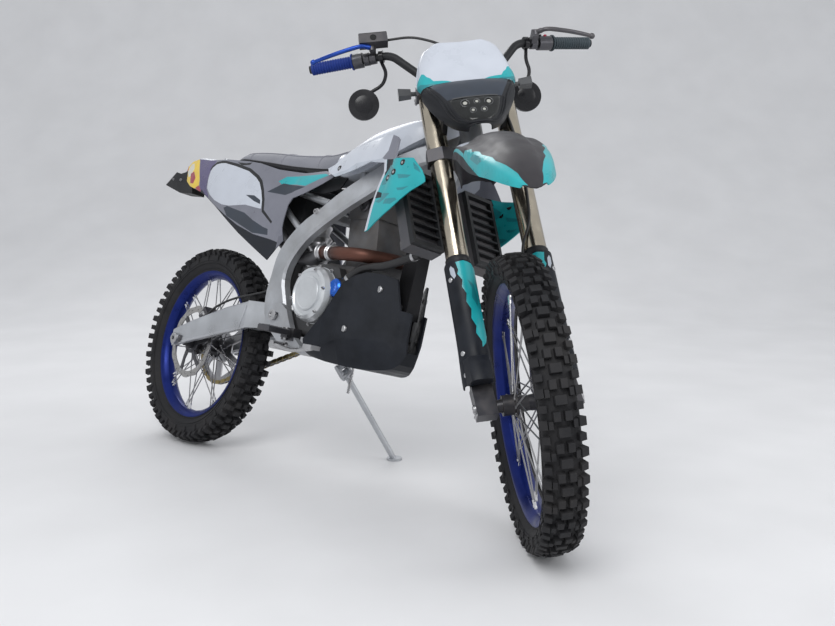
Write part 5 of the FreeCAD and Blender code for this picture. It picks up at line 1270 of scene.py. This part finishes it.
def mud_flap():
    # rubber flap under the airbox, between the rear tyre and the spring
    rows = spline([(446, 740), (440, 690), (426, 620), (412, 560), (405, 500)], 5)
    rings = [[(x + 5 * (1 - (y / 52) ** 2), y, z) for y in range(-52, 53, 8)] for x, z in rows]
    pile = Pile().rings(rings, "hose", closed=False, caps=False)
    pile.done("airbox_flap", "bike", "airbox", wall=3.0, bevel=0.8)
    ribs = Pile()
    for y in (-36, -12, 12, 36):
        ribs.tube([(x + 5 * (1 - (y / 52) ** 2) + 2, y, z) for x, z in rows[1:-1]], 2.4, "hose", 8)
    for y in (-40, 40):
        ribs.bolt((445, y, 728), (-1, 0, 0.1), 4.2)
    ribs.done("airbox_flap_ribs", "bike", "airbox")


def foot_pegs():
    # teeth and pins
    pile = Pile()
    for s in (1, -1):
        for k in range(8):
            x = 609 + 7 * k
            for y in (156, 170, 184, 198, 212, 224):
                pile.turned([(0, 0), (2.2, 0), (1.2, 4.4), (0, 4.4)], "dark_steel", (x, s * y, 411.6),
                            (0, 0, 1), 6)
        pile.tube([(633, s * 146, 384), (633, s * 146, 420)], 5, "steel", 12)
    pile.done("peg_teeth", "bike", "footpegs")


def skid_details():
    # screws of the skid plate
    pile = Pile()
    for s in (1, -1):
        for x, y, z in ((760, 130, 380), (860, 128, 440), (925, 86, 560)):
            pile.turned(stud(9, -3, 2, 7, 3.4), "steel", (x, s * y, z), (0, s, 0), 18)
    pile.done("skid_plate_screws", "bike", "skid_plate")


def stand_details():
    # the stand's coil spring
    pile = Pile()
    pivot = Vector((598.0, 128.0, 322.0))
    coil = []
    turns = 16
    for k in range(turns * 10 + 1):
        q = 2 * pi * k / 10
        t = k / (turns * 10)
        coil.append(pivot + Vector((26 + 4.5 * cos(q), 2 + 4.5 * sin(q), 22 - 78 * t)))
    pile.tube(coil, 1.3, "steel", 6)
    pile.done("stand_spring", "stand", "side_stand")


# camera, light and stage, in metres

AZIMUTH = 46.84
PITCH = 6.29
ROLL = -0.15


def camera():
    # fitted to the photo
    cam = put("camera", bpy.data.cameras.new("camera"))
    cam.data.sensor_width = 36.0
    cam.data.lens = 41.18
    azimuth, pitch = radians(AZIMUTH), radians(PITCH)
    cam.location = (2.2107, -1.8513, 0.7853)
    ahead = Vector((-sin(azimuth) * cos(pitch), cos(azimuth) * cos(pitch), -sin(pitch)))
    turn = ahead.to_track_quat("-Z", "Y").to_matrix().to_4x4() @ Matrix.Rotation(radians(ROLL), 4, "Z")
    cam.rotation_euler = turn.to_euler()
    bpy.context.scene.camera = cam


def area(name, at, aim, size, power):
    # disc light, hidden from the camera
    light = bpy.data.lights.new(name, "AREA")
    light.shape = "DISK"
    light.size = size
    light.energy = power
    obj = put(name, light)
    obj.location = at
    obj.rotation_euler = (Vector(aim) - Vector(at)).to_track_quat("-Z", "Y").to_euler()
    obj.visible_camera = False


# the floor's reach before the bike and to each side, where it starts to rise behind, the rise's radius
FLOOR_NEAR, FLOOR_WIDE, FLOOR_FAR, RISE_R = 14.0, 36.0, 3.0, 5.0
FLOOR_ROWS = 24
FLAT_SHARE = 0.6


def floor_row(t):
    # flat, then a large curve up to a wall behind
    if t < FLAT_SHARE:
        return -FLOOR_NEAR + t / FLAT_SHARE * (FLOOR_NEAR + FLOOR_FAR), 0.0
    a = (t - FLAT_SHARE) / (1 - FLAT_SHARE) * pi / 2
    return FLOOR_FAR + RISE_R * sin(a), RISE_R - RISE_R * cos(a)


def stage():
    world = bpy.data.worlds.new("world")
    bpy.context.scene.world = world
    world.use_nodes = True
    back = world.node_tree.nodes["Background"]
    back.inputs["Color"].default_value = (0.86, 0.88, 0.91, 1)
    back.inputs["Strength"].default_value = 0.8
    mesh = bpy.data.meshes.new("floor")
    rows = [floor_row(i / FLOOR_ROWS) for i in range(FLOOR_ROWS + 1)]
    verts = [(x, s * FLOOR_WIDE, z) for x, z in rows for s in (-1, 1)]
    mesh.from_pydata(verts, [], [(2 * i, 2 * i + 1, 2 * i + 3, 2 * i + 2) for i in range(FLOOR_ROWS)])
    for p in mesh.polygons:
        p.use_smooth = True
    floor = put("floor", mesh)
    floor.rotation_euler = (0, 0, radians(90 + AZIMUTH))
    mesh.materials.append(finish_material("floor", (0.7, 0.7, 0.71), 0.8, 0, 0, 0.03, 3, 120, 0.05, 0, 0.5))
    area("key", (2.5, -3.5, 4.2), (0, 0, 0.6), 3.0, 145)
    area("fill", (4.5, 1.5, 2.4), (0.3, 0, 0.6), 3.0, 52)
    area("rim", (-3.2, 1.5, 3.6), (0, 0, 0.8), 2.4, 48)


for part in (tyre, rim, wheel_spokes, brake_disc):
    for wheel in (FRONT, REAR):
        part(wheel)
for build in (side_panels, shrouds, tank, seat, rear_fender, tail_lamp, front_fender, fender_pad,
              number_plate, headlight, fork_guards, fork_details, grips, cockpit, mirrors, calipers,
              chain, header_clamps, engine_details, chassis_details, mud_flap, foot_pegs, skid_details,
              stand_details, camera, stage):
    build()
bpy.context.scene.view_settings.view_transform = "Standard"
